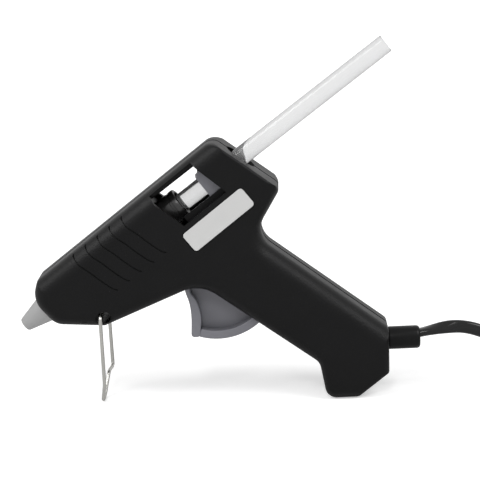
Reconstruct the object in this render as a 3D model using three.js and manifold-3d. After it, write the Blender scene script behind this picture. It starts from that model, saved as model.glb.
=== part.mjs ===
// A mini hot glue applicator with its stick, trigger feed, heater, wire stand and tied cord.
// Millimetres, +Z up, nozzle towards -X, handle heel towards +X, mirror plane at Y = 0.
import * as THREE from "three";
import { mergeVertices } from "three/addons/utils/BufferGeometryUtils.js";
import Module from "manifold-3d";

const wasm = await Module();
wasm.setup();

// Driving dimensions of the housing
const bodyLength = 134.5;
const bodyHeight = 100.7;
const bodyWidth = 26;
const wall = 2;
const fit = 0.3;
const overrun = 5;
const halfWidth = bodyWidth / 2;

// Counts of facets
const cornerSteps = 4;
const roundSegments = 28;
const smallSegments = 14;

// The side view's corners, from the nose top round the nozzle face, underside, handle and heel
// and back over the neck: shares of body length and of body height, then how far the corner's
// arc reaches, as a share of the shorter edge beside it, then a share of body height for the
// rounding of the edge that follows the corner.
const outlineShares = [
  [0.0171, 0.5035, 0.072, 0.0594],
  [0, 0.431, 0.65, 0.0491],
  [0.0617, 0.3337, 0.24, 0.0491],
  [0.2015, 0.3205, 0.0178, 0.0491],
  [0.4751, 0.466, 0.181, 0.0491],
  [0.8022, 0.139, 0.141, 0.031],
  [0.8193, 0, 0.35, 0.045],
  [0.9019, 0, 0.046, 0.02],
  [0.997, 0.0963, 0.0242, 0.031],
  [1, 0.262, 0.0784, 0.0697],
  [0.634, 0.642, 0.366, 0.0645],
  [0.71428, 0.81599, 0.121, 0.0103],
  [0.529049, 1.005774, 0.1126, 0.0697],
];
const leastRoundingShare = 0.0021;

// Where the feed line leaves the nose face and the rear face: shares along those two edges
const noseShare = 0.53;
const rearShare = 0.584;

// Materials
const finish = (color, roughness, metalness = 0) =>
  new THREE.MeshStandardMaterial({ color, roughness, metalness });
const blackPlastic = finish(0x202020, 0.55);
const greyPlastic = finish(0x70707a, 0.5);
const castAluminium = finish(0xa5a5a5, 0.45, 0.6);
const steel = finish(0xc8c8c4, 0.25, 0.9);
const springSteel = finish(0xb0b0ae, 0.3, 0.9);
const brass = finish(0xb89b55, 0.35, 0.8);
const silicone = finish(0xd8d8d4, 0.6);
const blackSilicone = finish(0x18181a, 0.5);
const ceramic = finish(0x4a4442, 0.7);
const film = finish(0xc79a3a, 0.4);
const clearGlue = finish(0xf0f0ee, 0.25);
const labelStock = finish(0xdedede, 0.4);
const cordBlack = finish(0x141414, 0.3);
const wireWhite = finish(0xe6e2da, 0.5);

// A closed manifold solid from a three.js geometry, turned right side out
function solid(geometry, matrix) {
  const loose = geometry.index ? geometry.toNonIndexed() : geometry.clone();
  const plain = new THREE.BufferGeometry();
  plain.setAttribute("position", loose.getAttribute("position"));
  if (matrix) plain.applyMatrix4(matrix);
  const merged = mergeVertices(plain);
  const vertProperties = merged.attributes.position.array;
  const triVerts = new Uint32Array(merged.index.array);
  const made = new wasm.Manifold(new wasm.Mesh({ numProp: 3, vertProperties, triVerts }));
  if (made.volume() >= 0) return made;
  triVerts.reverse();
  return new wasm.Manifold(new wasm.Mesh({ numProp: 3, vertProperties, triVerts }));
}

// A three.js geometry from a manifold solid
function geometryOf(made) {
  const { numProp, vertProperties, triVerts } = made.getMesh();
  const count = vertProperties.length / numProp;
  const positions = new Float32Array(count * 3);
  for (let i = 0; i < count; i++) {
    positions.set(vertProperties.subarray(i * numProp, i * numProp + 3), i * 3);
  }
  const geometry = new THREE.BufferGeometry();
  geometry.setAttribute("position", new THREE.BufferAttribute(positions, 3));
  geometry.setIndex(new THREE.BufferAttribute(triVerts, 1));
  geometry.computeVertexNormals();
  return geometry;
}

const joined = (first, ...others) => others.reduce((sum, next) => sum.add(next), first);
const without = (first, ...others) => others.reduce((rest, next) => rest.subtract(next), first);

// The same solid on the other side of the mirror plane
const acrossY = new THREE.Matrix4().makeScale(1, -1, 1);
const mirrored = (made) => solid(geometryOf(made), acrossY);

// A box between two corners
function block(low, high) {
  const size = high.map((v, i) => v - low[i]);
  const geometry = new THREE.BoxGeometry(...size);
  geometry.translate(...low.map((v, i) => v + size[i] / 2));
  return solid(geometry);
}

// A flat plate whose outline lies in the XZ plane, from one Y to another
function plate(points, y0, y1) {
  const shape = new THREE.Shape(points.map(([x, z]) => new THREE.Vector2(x, z)));
  const geometry = new THREE.ExtrudeGeometry(shape, { depth: y1 - y0, bevelEnabled: false });
  geometry.rotateX(Math.PI / 2);
  geometry.translate(0, y1, 0);
  return solid(geometry);
}

// A body of revolution about the X axis, from points of place along the axis and radius
function turned(profile, segments = roundSegments) {
  const points = profile.map(([along, radius]) => new THREE.Vector2(radius, along));
  const geometry = new THREE.LatheGeometry(points, segments);
  geometry.rotateZ(-Math.PI / 2);
  return solid(geometry);
}

const rod = (x0, x1, radius, segments) =>
  turned([[x0, 0], [x0, radius], [x1, radius], [x1, 0]], segments);
const ring = (x0, x1, inner, outer, segments) =>
  turned([[x0, inner], [x0, outer], [x1, outer], [x1, inner], [x0, inner]], segments);

// A cylinder along Y with its axis at x, z
function pinAlongY(x, z, radius, y0, y1, segments = roundSegments) {
  const geometry = new THREE.CylinderGeometry(radius, radius, y1 - y0, segments);
  geometry.translate(x, (y0 + y1) / 2, z);
  return solid(geometry);
}

// A tube of the given section carried along points, its section's second axis kept near up
const swept = (points, section, up) => lofted(ringsAlong(points, section, up));

function ringsAlong(points, section, up) {
  return points.map((point, i) => {
    const before = points[Math.max(i - 1, 0)];
    const after = points[Math.min(i + 1, points.length - 1)];
    const along = after.clone().sub(before).normalize();
    const side = along.clone().cross(up).normalize();
    const top = side.clone().cross(along);
    return section.map(([u, v]) => point.clone().addScaledVector(side, u).addScaledVector(top, v));
  });
}

// A closed skin over rings of equal count, each end closed by triangles
function lofted(rings) {
  const count = rings[0].length;
  const positions = rings.flat().flatMap((p) => [p.x, p.y, p.z]);
  const index = [];
  for (let r = 0; r + 1 < rings.length; r++) {
    for (let i = 0; i < count; i++) {
      const j = (i + 1) % count;
      const low = r * count;
      const high = low + count;
      index.push(low + i, low + j, high + j, low + i, high + j, high + i);
    }
  }
  const capOf = (ringPoints) => {
    const normal = new THREE.Vector3();
    ringPoints.forEach((p, i) => normal.add(p.clone().cross(ringPoints[(i + 1) % count])));
    normal.normalize();
    const side = ringPoints[1].clone().sub(ringPoints[0]).normalize();
    const top = normal.clone().cross(side);
    const flat = ringPoints.map((p) => new THREE.Vector2(p.dot(side), p.dot(top)));
    return THREE.ShapeUtils.triangulateShape(flat, []);
  };
  const last = (rings.length - 1) * count;
  for (const [a, b, c] of capOf(rings[0])) index.push(c, b, a);
  for (const [a, b, c] of capOf(rings[rings.length - 1])) index.push(last + a, last + b, last + c);
  const geometry = new THREE.BufferGeometry();
  geometry.setAttribute("position", new THREE.Float32BufferAttribute(positions, 3));
  geometry.setIndex(index);
  return solid(geometry);
}

// A round section with a given number of sides
function circle(radius, sides) {
  return Array.from({ length: sides }, (_, i) => {
    const angle = (i / sides) * 2 * Math.PI;
    return [radius * Math.cos(angle), radius * Math.sin(angle)];
  });
}

// A line through hand-placed points whose corners are replaced by short arcs
function rounded(points, radius, steps = 3) {
  const line = [points[0]];
  for (let i = 1; i + 1 < points.length; i++) {
    const [before, corner, after] = [points[i - 1], points[i], points[i + 1]];
    const reach = (from) => Math.min(radius, from.distanceTo(corner) * 0.45);
    const start = corner.clone().lerp(before, reach(before) / corner.distanceTo(before));
    const end = corner.clone().lerp(after, reach(after) / corner.distanceTo(after));
    const bend = new THREE.QuadraticBezierCurve3(start, corner, end);
    line.push(...bend.getPoints(steps));
  }
  line.push(points[points.length - 1]);
  return line;
}

// The housing's outline in the side view, and the same outline drawn in by an amount on each edge
const cornerPlaces = outlineShares.map(
  ([x, z]) => new THREE.Vector2(x * bodyLength, z * bodyHeight),
);
const corners = outlineShares.map(([, , reachShare, rounding], i) => {
  const at = cornerPlaces[i];
  const before = cornerPlaces[(i + outlineShares.length - 1) % outlineShares.length];
  const after = cornerPlaces[(i + 1) % outlineShares.length];
  const arriving = at.clone().sub(before);
  const leaving = after.clone().sub(at);
  const reach = reachShare * Math.min(arriving.length(), leaving.length());
  const turn = Math.acos(arriving.dot(leaving) / arriving.length() / leaving.length());
  return { at, radius: reach / Math.tan(turn / 2), rounding: rounding * bodyHeight };
});

function outline(inset) {
  const count = corners.length;
  const edges = corners.map((corner, i) => {
    const next = corners[(i + 1) % count];
    const along = next.at.clone().sub(corner.at).normalize();
    const inward = new THREE.Vector2(-along.y, along.x);
    const drawnIn = inset(corner.rounding);
    return { along, start: corner.at.clone().addScaledVector(inward, drawnIn), drawnIn };
  });
  const points = [];
  corners.forEach((corner, i) => {
    const arriving = edges[(i + count - 1) % count];
    const leaving = edges[i];
    const cross = arriving.along.cross(leaving.along);
    const between = leaving.start.clone().sub(arriving.start);
    const along = between.cross(leaving.along) / cross;
    const vertex = arriving.start.clone().addScaledVector(arriving.along, along);
    const drawnIn = Math.max(arriving.drawnIn, leaving.drawnIn);
    const least = leastRoundingShare * bodyHeight;
    const radius = Math.max(cross > 0 ? corner.radius - drawnIn : corner.radius + drawnIn, least);
    const turn = Math.acos(arriving.along.dot(leaving.along));
    const reach = radius * Math.tan(turn / 2);
    const centreSide = Math.sign(cross);
    const from = vertex.clone().addScaledVector(arriving.along, -reach);
    const inward = new THREE.Vector2(-arriving.along.y, arriving.along.x);
    const centre = from.clone().addScaledVector(inward, centreSide * radius);
    for (let step = 0; step <= cornerSteps; step++) {
      const angle = (centreSide * turn * step) / cornerSteps;
      points.push(from.clone().rotateAround(centre, angle));
    }
  });
  return points;
}

// One half of a rounded body: rings from the seam out to the flat side, where every edge curls in
// by a quarter circle of its own rounding; shrink draws the whole body in by a wall
function halfBody(shrink, seam) {
  const reach = halfWidth - shrink;
  const curl = (rounding) => Math.max(rounding - shrink, leastRoundingShare * bodyHeight);
  const deepest = curl(Math.max(...corners.map((corner) => corner.rounding)));
  const depths = [seam, reach - deepest];
  const bends = 4;
  for (let i = 1; i <= bends; i++) {
    depths.push(reach - deepest + deepest * Math.sin((i / bends) * (Math.PI / 2)));
  }
  const rings = depths.map((depth) => {
    const inset = (rounding) => {
      const radius = curl(rounding);
      const into = Math.max(depth - (reach - radius), 0);
      return shrink + radius - Math.sqrt(Math.max(radius * radius - into * into, 0));
    };
    return outline(inset).map((p) => new THREE.Vector3(p.x, depth, p.y));
  });
  return lofted(rings);
}

// The feed line, from the nose face to the rear face, and the frame that follows it: X back along
// the line, Z up from it
const alongEdge = (i, share) => corners[i].at.clone().lerp(corners[i + 1].at, share);
const nosePoint = alongEdge(1, noseShare);
const rearPoint = alongEdge(11, rearShare);
const feedLength = nosePoint.distanceTo(rearPoint);
const feedTilt = rearPoint.clone().sub(nosePoint).angle();
const feed = new THREE.Group();
feed.position.set(nosePoint.x, 0, nosePoint.y);
feed.rotation.y = -feedTilt;
feed.updateMatrix();
const onFeed = (made) => solid(geometryOf(made), feed.matrix);
const toBody = (x, z) => {
  const point = new THREE.Vector3(x, 0, z).applyMatrix4(feed.matrix);
  return [point.x, point.z];
};
const toFeed = (x, z) => {
  const point = new THREE.Vector3(x, 0, z).applyMatrix4(feed.matrix.clone().invert());
  return [point.x, point.z];
};

// Glue stick and the clearance it runs in
const stickRadius = 3.6;
const stickLength = 100;
const boreRadius = stickRadius + fit;

// Nozzle: a cone that stands out of the nose face, with a shank that takes the barrel's stub
const nozzleReach = 11.5;
const nozzleTipRadius = 2.8;
const nozzleBaseRadius = 5.35;
const nozzleProud = 0.8;
const nozzleTipChamfer = 0.5;
const orificeRadius = 0.75;
const orificeLength = 2.5;
const chamberRadius = 2.1;
const shankRadius = 4.2;
const shankLength = 9.7;
const socketRadius = 3.2;
const socketDepth = 6.4;
const nozzleProfile = [
  [-nozzleReach, orificeRadius],
  [-nozzleReach, nozzleTipRadius - nozzleTipChamfer],
  [-nozzleReach + nozzleTipChamfer, nozzleTipRadius],
  [-nozzleProud, nozzleBaseRadius],
  [-nozzleProud, shankRadius],
  [shankLength, shankRadius],
  [shankLength, socketRadius],
  [shankLength - socketDepth, socketRadius],
  [shankLength - socketDepth, chamberRadius],
  [-nozzleReach + orificeLength + chamberRadius - orificeRadius, chamberRadius],
  [-nozzleReach + orificeLength, orificeRadius],
  [-nozzleReach, orificeRadius],
];

// Heat-resistant collar between the nozzle's shank and the nose hole
const collarRadius = 5.5;
const collarLength = 8.5;
const collarStart = -nozzleProud + fit;
const noseHoleRadius = collarRadius + fit;

// Melting barrel, whose front stub screws into the nozzle and seats the check ball
const barrelStart = shankLength + fit;
const barrelRadius = 5.5;
const barrelLength = 42;
const barrelEnd = barrelStart + barrelLength;
const spigotRadius = 4.9;
const spigotLength = 6;
const stubStart = shankLength - socketDepth + fit;
const stubRadius = socketRadius - fit;
const throatRadius = 1.2;
const throatCone = 3;
const ballRadius = 1.5;
const ballLift = 0.6;
const ballPlace = stubStart - Math.sqrt(ballRadius ** 2 - throatRadius ** 2) - fit;

// Heater block under the barrel, and the stack in its pocket
const blockOffset = 5.6;
const blockLength = 25;
const blockDrop = 12.7;
const blockHalfWidth = 6.5;
const pocketHalfWidth = 5;
const pocketTop = 6.2;
const pocketHeight = 5;
const blockStart = barrelStart + blockOffset;
const blockEnd = blockStart + blockLength;
const pocketMiddle = -(pocketTop + pocketHeight / 2);
const filmThickness = 0.4;
const filmSetback = 1;
const filmHeight = pocketHeight - 2 * fit;
const plateThickness = 0.4;
const stackGap = 0.25;
const tabLength = 3.5;
const tabHalfWidth = 1.5;
const tabOffset = 2.5;
const terminalLength = 5;
const terminalRadius = 1.2;
const clipLength = 8;
const clipThickness = 0.6;
const clipHeight = 7;

// Black inlet sleeve behind the barrel, and its wire clamp
const sleeveRadius = 6.2;
const sleeveLip = 2;
const sleeveFlare = 1.1;
const sleeveStart = barrelEnd - spigotLength + fit;
const clampWire = 0.6;
const clampLength = 1.2;

// Window in both sides, as corners in the feed frame: shares of the feed length along and up
const windowShares = [
  [0.6335, 0.1113],
  [0.8423, 0.1155],
  [0.8455, 0.097],
  [0.8847, -0.0599],
  [0.6696, -0.0641],
  [0.6304, 0.0736],
];
const windowInner = 8.6;
const sleeveEnd = feedLength * 0.7014;
const stickStart = sleeveEnd - 3.2;

// Guide ribs and rails
const ribThickness = 2;
const ribDepth = 13;
const ribRise = 13;
const sleeveRibDepth = 10.5;
const frontRibPlace = 5;
const barrelRibPlace = barrelStart + 1.2;
const rearRibPlace = blockEnd + 3.2;
const sleeveRibPlace = sleeveStart + spigotLength + 3.6;
const guideRibPlace = feedLength * 0.932;
const railHalfWidth = 3.5;
const railRise = 7.95;
const lowerRailDrop = 5.5;
const fenceTop = -3.8;
const fenceShelf = -6.3;
const fenceMargin = 0.6;
const rearHoleRadius = 5.6;

// Gripper ring, carried by two trunnions in the trigger's fork
const gripperPlace = feedLength * 0.8636;
const gripperLength = 6;
const gripperRadius = 5.1;
const trunnionRadius = 1.3;
const trunnionSink = 1;
const armInner = gripperRadius + fit;
const armThickness = 1.6;
const armOuter = armInner + armThickness;

// Trigger pivot, as shares of body length and height
const pivotShares = [0.551, 0.5065];
const pivot = new THREE.Vector2(pivotShares[0] * bodyLength, pivotShares[1] * bodyHeight);
const pinRadius = 2;
const hubRadius = 4.5;
const bossRadius = 4.2;
const triggerHalfWidth = 6;
const webHalfWidth = 1.4;
const bowRadius = 24.3;
const bowThickness = 3.3;
const bowCentreShares = [-0.177, -0.103];
const bowStart = -110;
const bowEnd = -24;
const bowSteps = 10;
// The finger flange's front and rear edges, from the top down, as shares of the bow's radius
const flangeFrontShares = [
  [-0.683, -0.123],
  [-0.663, -0.317],
  [-0.609, -0.514],
  [-0.591, -0.728],
  [-0.605, -1.004],
  [-0.564, -1.053],
];
const flangeRearShares = [
  [-0.465, -1.03],
  [-0.436, -0.765],
  [-0.457, -0.601],
  [-0.498, -0.469],
  [-0.584, -0.321],
  [-0.59, -0.123],
];
const springArmReach = 11;
const springArmHalfWidth = 2.6;
const springArmTop = 1.3;
const springArmDrop = 3;
const returnSpringPlace = 8;
const returnSpringRadius = 2.1;
const returnSpringWire = 0.3;
const returnSpringLength = 9.4;
const returnSpringCurls = 7;
const springSeatHeight = 2.6;
const springSeatHalfLength = 3.6;
const slotMargin = 1;
const slotCentreShares = [-0.1626, -0.1235];
const slotFront = -16.8;

// Screw places as shares of body length and height: nose, under the barrel, beavertail, handle, heel
const screwShares = [
  [0.1468, 0.3709],
  [0.3688, 0.4796],
  [0.6513, 0.8044],
  [0.777, 0.288],
  [0.91, 0.086],
];
const screwRadius = 1.3;
const screwHeadRadius = 2.5;
const screwHeadHeight = 1.6;
const screwLength = 20;
const screwBossRadius = 2.9;
const headRecess = 3;

// Label plate on the left side, in a shallow recess; its place is a share of the feed length
const labelPlaceShares = [0.7915, -0.1266];
const labelLength = 28.6;
const labelHeight = 8.2;
const labelCorner = 1.3;
const labelTurn = 1.3;
const labelThickness = 0.5;
const labelProud = 0.2;

// Finger grooves on each side, in the feed frame, as shares of the feed length
const groovePathShares = [
  [0.2464, 0.116],
  [0.2426, 0.1097],
  [0.2426, 0.0886],
  [0.2447, 0.0663],
  [0.2595, 0.0212],
  [0.2712, -0.027],
  [0.2881, -0.0817],
  [0.3013, -0.1029],
];
const grooveCount = 5;
const groovePitch = 5.85;
const grooveWidth = 0.55;
const grooveDepth = 0.5;

// Wire stand: its ends turn in a hole in each side under the nose
const standShares = [0.1933, 0.3664];
const standPivot = new THREE.Vector2(standShares[0] * bodyLength, standShares[1] * bodyHeight);
const standWire = 0.7;
const standSlot = 2.1;
const standGrip = 3.4;
const standLegOut = 14.2;
const standShoulderOut = 15.2;
const standShoulderHeight = 9.2;
const standKneeOut = 8;
const standFootOut = 3;
const standLean = 2.5;
const standHollowBehind = 1.2;
const standHollowBelow = 1.4;
const standHollowRadius = 3.2;
const standHollowDepth = 1.2;
const standOpeningBehind = 1.5;
const standOpeningBelow = 0.9;
const standOpeningRadius = 2.3;

// Strain relief in the heel's rear face, and the cord clamp inside
const reliefHeightShare = 0.2;
const reliefRadius = 4.4;
const reliefReach = 12.2;
const reliefCorner = 0.9;
const reliefNeckRadius = 3.3;
const reliefFlangeRadius = 4.6;
const reliefFlangeLength = 2.4;
const clampLengthAcross = 14;
const clampWidth = 4;
const clampThickness = 2;
const clampSetback = 13;
const clampScrewOffset = 5;
const clampScrewRadius = 1.1;
const clampScrewHead = 2;
const clampScrewLength = 9;
const leadRadius = 0.8;
const leadClearance = 1.4;
const leadOut = halfWidth - wall - leadRadius - leadClearance;

// Cord: flat twin lead, its tied hank and its plug
const cordWidth = 5;
const cordThickness = 3;
const cordRise = 1.7;
const coilLoops = 4;
const coilInnerRadius = 15.2;
const coilPitch = 3.5;
const coilLayerRise = 5.5;
const coilSteps = 24;
const hankRun = 70;
const hankSetback = 53.2;
const plugLength = 34;
const plugWidth = 35;
const plugNeck = 12;
const plugHeight = 13.6;
const plugPinRadius = 2;
const plugPinLength = 19;
const plugPinSpacing = 18.6;
const plugRun = 42.8;
const plugRunLevel = 8.8;
const tieThickness = 0.6;
const tieFit = 0.2;
const tieWidth = 4;
const tieSetback = 3.5;

// The left or right half of the housing, made on the +Y side
function housingHalf(isLeft) {
  const seam = fit / 2;
  const skin = halfBody(0, seam);
  const cavity = halfBody(wall, -overrun);
  const inside = halfBody(wall / 2, seam);
  const parts = [];
  const cuts = [];

  // Ribs that carry the nozzle collar, the barrel, the sleeve and the stick
  const rib = (place, low, high, hole) => {
    const slab = block([place, seam, low], [place + ribThickness, halfWidth, high]);
    return onFeed(without(slab, rod(place - overrun, place + overrun, hole)));
  };
  parts.push(rib(frontRibPlace, -ribDepth, ribRise, noseHoleRadius));
  parts.push(rib(barrelRibPlace, -ribDepth, ribRise, barrelRadius + fit));
  parts.push(rib(rearRibPlace, -spigotRadius, ribRise, barrelRadius + fit));
  parts.push(rib(sleeveRibPlace, -sleeveRibDepth, ribRise, sleeveRadius + fit));
  parts.push(rib(guideRibPlace, -ribDepth, ribRise, boreRadius));

  // Rails above and below the gripper
  const railStart = sleeveRibPlace + ribThickness / 2;
  const railEnd = guideRibPlace + ribThickness / 2;
  parts.push(onFeed(block([railStart, seam, railRise], [railEnd, railHalfWidth, ribRise])));
  const railTop = -lowerRailDrop;
  const lowerStart = sleeveEnd + fit;
  parts.push(onFeed(block([lowerStart, seam, railTop - wall], [railEnd, railHalfWidth, railTop])));

  // Fence between the fork's arm and the window's lower edge, on a shelf from the side wall
  const fenceInner = armOuter + fenceMargin;
  const fenceLow = railTop - wall;
  parts.push(onFeed(block([lowerStart, fenceInner, fenceLow], [railEnd, windowInner, fenceTop])));
  parts.push(onFeed(block([lowerStart, fenceInner, fenceLow], [railEnd, halfWidth, fenceShelf])));

  // Screw bosses
  const screwPlaces = screwShares.map(([x, z]) => [x * bodyLength, z * bodyHeight]);
  for (const [x, z] of screwPlaces) {
    parts.push(pinAlongY(x, z, screwBossRadius, seam, halfWidth, smallSegments));
    const bore = screwRadius + fit;
    if (isLeft) {
      cuts.push(pinAlongY(x, z, bore, -overrun, screwLength - halfWidth + headRecess + fit, smallSegments));
    } else {
      cuts.push(pinAlongY(x, z, bore, -overrun, halfWidth + overrun, smallSegments));
      const head = screwHeadRadius + fit;
      const seat = halfWidth - headRecess - screwHeadHeight;
      cuts.push(pinAlongY(x, z, head, seat, halfWidth + overrun, smallSegments));
    }
  }

  // Boss for the trigger pin, and the seat of the return spring
  parts.push(pinAlongY(pivot.x, pivot.y, bossRadius, armOuter + fit, halfWidth - wall / 2));
  cuts.push(pinAlongY(pivot.x, pivot.y, pinRadius + fit, armOuter - fit, halfWidth - wall, smallSegments));
  const seatLow = pivot.y + springArmTop + fit + returnSpringLength + fit;
  const seatMiddle = pivot.x + returnSpringPlace;
  const springSeat = block(
    [seatMiddle - springSeatHalfLength, seam, seatLow],
    [seatMiddle + springSeatHalfLength, halfWidth, seatLow + springSeatHeight],
  );
  parts.push(springSeat);

  // Hollow behind each stand hole, where the wire's corner turns, with an opening through its floor
  const [hx, hz] = [standPivot.x, standPivot.y];
  const [hollowX, hollowZ] = [hx + standHollowBehind, hz - standHollowBelow];
  const [openX, openZ] = [hx + standOpeningBehind, hz - standOpeningBelow];
  cuts.push(pinAlongY(hollowX, hollowZ, standHollowRadius, halfWidth - standHollowDepth, bodyWidth));
  cuts.push(pinAlongY(openX, openZ, standOpeningRadius, halfWidth - wall - fit, bodyWidth));

  // Strain relief hole
  const reliefHeight = reliefHeightShare * bodyHeight;
  const reliefHole = rod(bodyLength - wall - overrun, bodyLength + overrun, reliefNeckRadius + fit);
  const place = new THREE.Matrix4().makeTranslation(0, 0, reliefHeight);
  cuts.push(solid(geometryOf(reliefHole), place));

  // Screw bosses of the cord clamp, on the right half alone, which reach past the seam
  const beyondSeam = [];
  if (!isLeft) {
    for (const [x, z] of clampScrewPlaces()) {
      const bossTop = -leadRadius;
      parts.push(pinAlongY(x, z, screwBossRadius, seam, halfWidth, smallSegments));
      beyondSeam.push(pinAlongY(x, z, screwBossRadius, bossTop, seam + fit, smallSegments));
      cuts.push(pinAlongY(x, z, clampScrewRadius + fit, -halfWidth, clampScrewLength, smallSegments));
    }
  }

  // Nozzle hole, stick hole and windows
  cuts.push(onFeed(rod(-overrun - nozzleProud, frontRibPlace, noseHoleRadius)));
  cuts.push(onFeed(rod(guideRibPlace + ribThickness, feedLength + overrun, rearHoleRadius)));
  const windowPoints = windowShares.map(([x, z]) => [x * feedLength, z * feedLength]);
  cuts.push(onFeed(plate(windowPoints, windowInner, bodyWidth)));

  // Slot that the trigger swings in, concentric with the middle of its bow's travel
  const slotRadius = bowRadius + slotMargin;
  const slotX = pivot.x + slotCentreShares[0] * bowRadius;
  const slotZ = pivot.y + slotCentreShares[1] * bowRadius;
  const disc = pinAlongY(slotX, slotZ, slotRadius, -overrun, triggerHalfWidth + fit, 2 * roundSegments);
  const front = block(
    [pivot.x - bodyLength, -bodyWidth, -overrun],
    [pivot.x + slotFront, bodyWidth, bodyHeight],
  );
  const above = block([0, -bodyWidth, pivot.y], [bodyLength, bodyWidth, bodyHeight + overrun]);
  const slot = without(disc, front, above);

  // Stand slot and hole
  const standHole = pinAlongY(hx, hz, standSlot / 2, 0, bodyWidth, smallSegments);
  const standCut = block(
    [hx - standSlot / 2, halfWidth - wall - fit, 0],
    [hx + standSlot / 2, bodyWidth, hz],
  );

  // Grooves that follow the surface at an even depth
  const core = halfBody(grooveDepth, -overrun);
  const grooves = [];
  for (let i = 0; i < grooveCount; i++) {
    const line = groovePathShares.map(([x, z]) => [x * feedLength + i * groovePitch, z * feedLength]);
    const strip = [
      ...line.map(([x, z]) => [x - grooveWidth / 2, z]),
      ...line.map(([x, z]) => [x + grooveWidth / 2, z]).reverse(),
    ];
    grooves.push(onFeed(plate(strip, halfWidth / 2, bodyWidth)).subtract(core));
  }
  if (isLeft) cuts.push(labelRecess());

  const shell = without(skin, cavity, slot, standCut);
  const fittings = joined(joined(...parts).intersect(inside), ...beyondSeam);
  const whole = joined(shell, without(fittings, slot));
  const half = without(whole, standHole, standCut, ...cuts, ...grooves);
  return half.decompose().reduce((a, b) => (a.volume() > b.volume() ? a : b));
}

// Places of the clamp's two screws, either side of the cord
function clampScrewPlaces() {
  const height = reliefHeightShare * bodyHeight;
  const x = bodyLength - clampSetback;
  return [
    [x, height - clampScrewOffset],
    [x, height + clampScrewOffset],
  ];
}

// Centre of the trigger's bow in the side view
function bowCentre() {
  return new THREE.Vector2(
    pivot.x + bowCentreShares[0] * bowRadius,
    pivot.y + bowCentreShares[1] * bowRadius,
  );
}

// The label's outline with round corners, in its own plane
function labelOutline(margin) {
  const shape = new THREE.Shape();
  const [w, h, r] = [labelLength / 2 + margin, labelHeight / 2 + margin, labelCorner + margin];
  shape.moveTo(-w + r, -h);
  shape.lineTo(w - r, -h);
  shape.absarc(w - r, -h + r, r, -Math.PI / 2, 0);
  shape.absarc(w - r, h - r, r, 0, Math.PI / 2);
  shape.absarc(-w + r, h - r, r, Math.PI / 2, Math.PI);
  shape.absarc(-w + r, -h + r, r, Math.PI, Math.PI * 1.5);
  return shape.getPoints(3).map((p) => [p.x, p.y]);
}

// The label plate or its recess, on the +Y side in the body's frame
function labelSolid(margin, y0, y1) {
  const outlinePoints = labelOutline(margin);
  const seen = new Set();
  const points = outlinePoints.filter(([x, z]) => {
    const key = x.toFixed(4) + "," + z.toFixed(4);
    if (seen.has(key)) return false;
    seen.add(key);
    return true;
  });
  const flat = plate(points, y0, y1);
  const turn = new THREE.Matrix4().makeRotationY(-THREE.MathUtils.degToRad(labelTurn));
  const [x, z] = labelPlaceShares.map((share) => share * feedLength);
  const place = new THREE.Matrix4().makeTranslation(x, 0, z).multiply(turn);
  return onFeed(solid(geometryOf(flat), place));
}

const labelTop = halfWidth + labelProud;
const labelRecess = () => labelSolid(fit, labelTop - labelThickness - fit, bodyWidth);

// A helical spring along X: closed end turns are left open, its ends stay round
function helix(x0, x1, radius, wire, curls, sides = 5, steps = 8) {
  const points = [];
  const total = curls * steps;
  for (let i = 0; i <= total; i++) {
    const angle = (i / steps) * 2 * Math.PI;
    const along = x0 + ((x1 - x0) * i) / total;
    points.push(new THREE.Vector3(along, radius * Math.cos(angle), radius * Math.sin(angle)));
  }
  return swept(points, circle(wire, sides), new THREE.Vector3(1, 0, 0));
}

// The trigger: finger flange, bow, thin web, hub, spring arm and the fork's two arms
function triggerSolid() {
  const centre = bowCentre();
  const onPivot = ([x, z]) => [pivot.x + x * bowRadius, pivot.y + z * bowRadius];
  const flange = plate(
    [...flangeFrontShares.map(onPivot), ...flangeRearShares.map(onPivot)],
    -triggerHalfWidth,
    triggerHalfWidth,
  );
  const arcPoints = (radius) =>
    Array.from({ length: bowSteps + 1 }, (_, i) => {
      const angle = THREE.MathUtils.degToRad(bowStart + ((bowEnd - bowStart) * i) / bowSteps);
      return [centre.x + radius * Math.cos(angle), centre.y + radius * Math.sin(angle)];
    });
  const outer = arcPoints(bowRadius);
  const inner = arcPoints(bowRadius - bowThickness).reverse();
  const bow = plate([...outer, ...inner], -triggerHalfWidth, triggerHalfWidth);
  const flangeMiddle = flangeFrontShares
    .slice(0, -1)
    .map(([x, z]) => onPivot([x + bowThickness / bowRadius / 4, z]));
  const webPoints = [
    ...flangeMiddle,
    ...arcPoints(bowRadius - bowThickness / 2),
    [pivot.x + springArmReach, pivot.y + springArmTop - springArmDrop],
    [pivot.x, pivot.y],
  ];
  const web = plate(webPoints, -webHalfWidth, webHalfWidth);
  const hubEnd = armOuter - fit / 2;
  const hub = pinAlongY(pivot.x, pivot.y, hubRadius, -hubEnd, hubEnd);
  const springArm = block(
    [pivot.x, -springArmHalfWidth, pivot.y + springArmTop - springArmDrop],
    [pivot.x + springArmReach, springArmHalfWidth, pivot.y + springArmTop],
  );
  const arm = without(onFeed(plate(armPoints(), armInner, armOuter)), trunnionSlot());
  const pinHole = pinAlongY(pivot.x, pivot.y, pinRadius + fit, -bodyWidth, bodyWidth, smallSegments);
  return without(joined(flange, bow, web, hub, springArm, arm, mirrored(arm)), pinHole);
}

// One fork arm in the feed frame, from the hub up past the feed line
function armPoints() {
  const [hubX, hubZ] = toFeed(pivot.x, pivot.y);
  const front = gripperPlace - gripperLength / 2 - fit - trunnionRadius;
  const rear = gripperPlace + gripperLength / 2 + trunnionRadius;
  const top = stickRadius + trunnionRadius;
  const round = trunnionRadius;
  return [
    [hubX - hubRadius, hubZ],
    [front, -gripperRadius],
    [front, top],
    [front + round / 2, top + round * 0.8],
    [front + 2 * round, top + round],
    [rear, top - round / 2],
    [rear, -gripperRadius],
    [hubX + hubRadius, hubZ],
  ];
}

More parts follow.
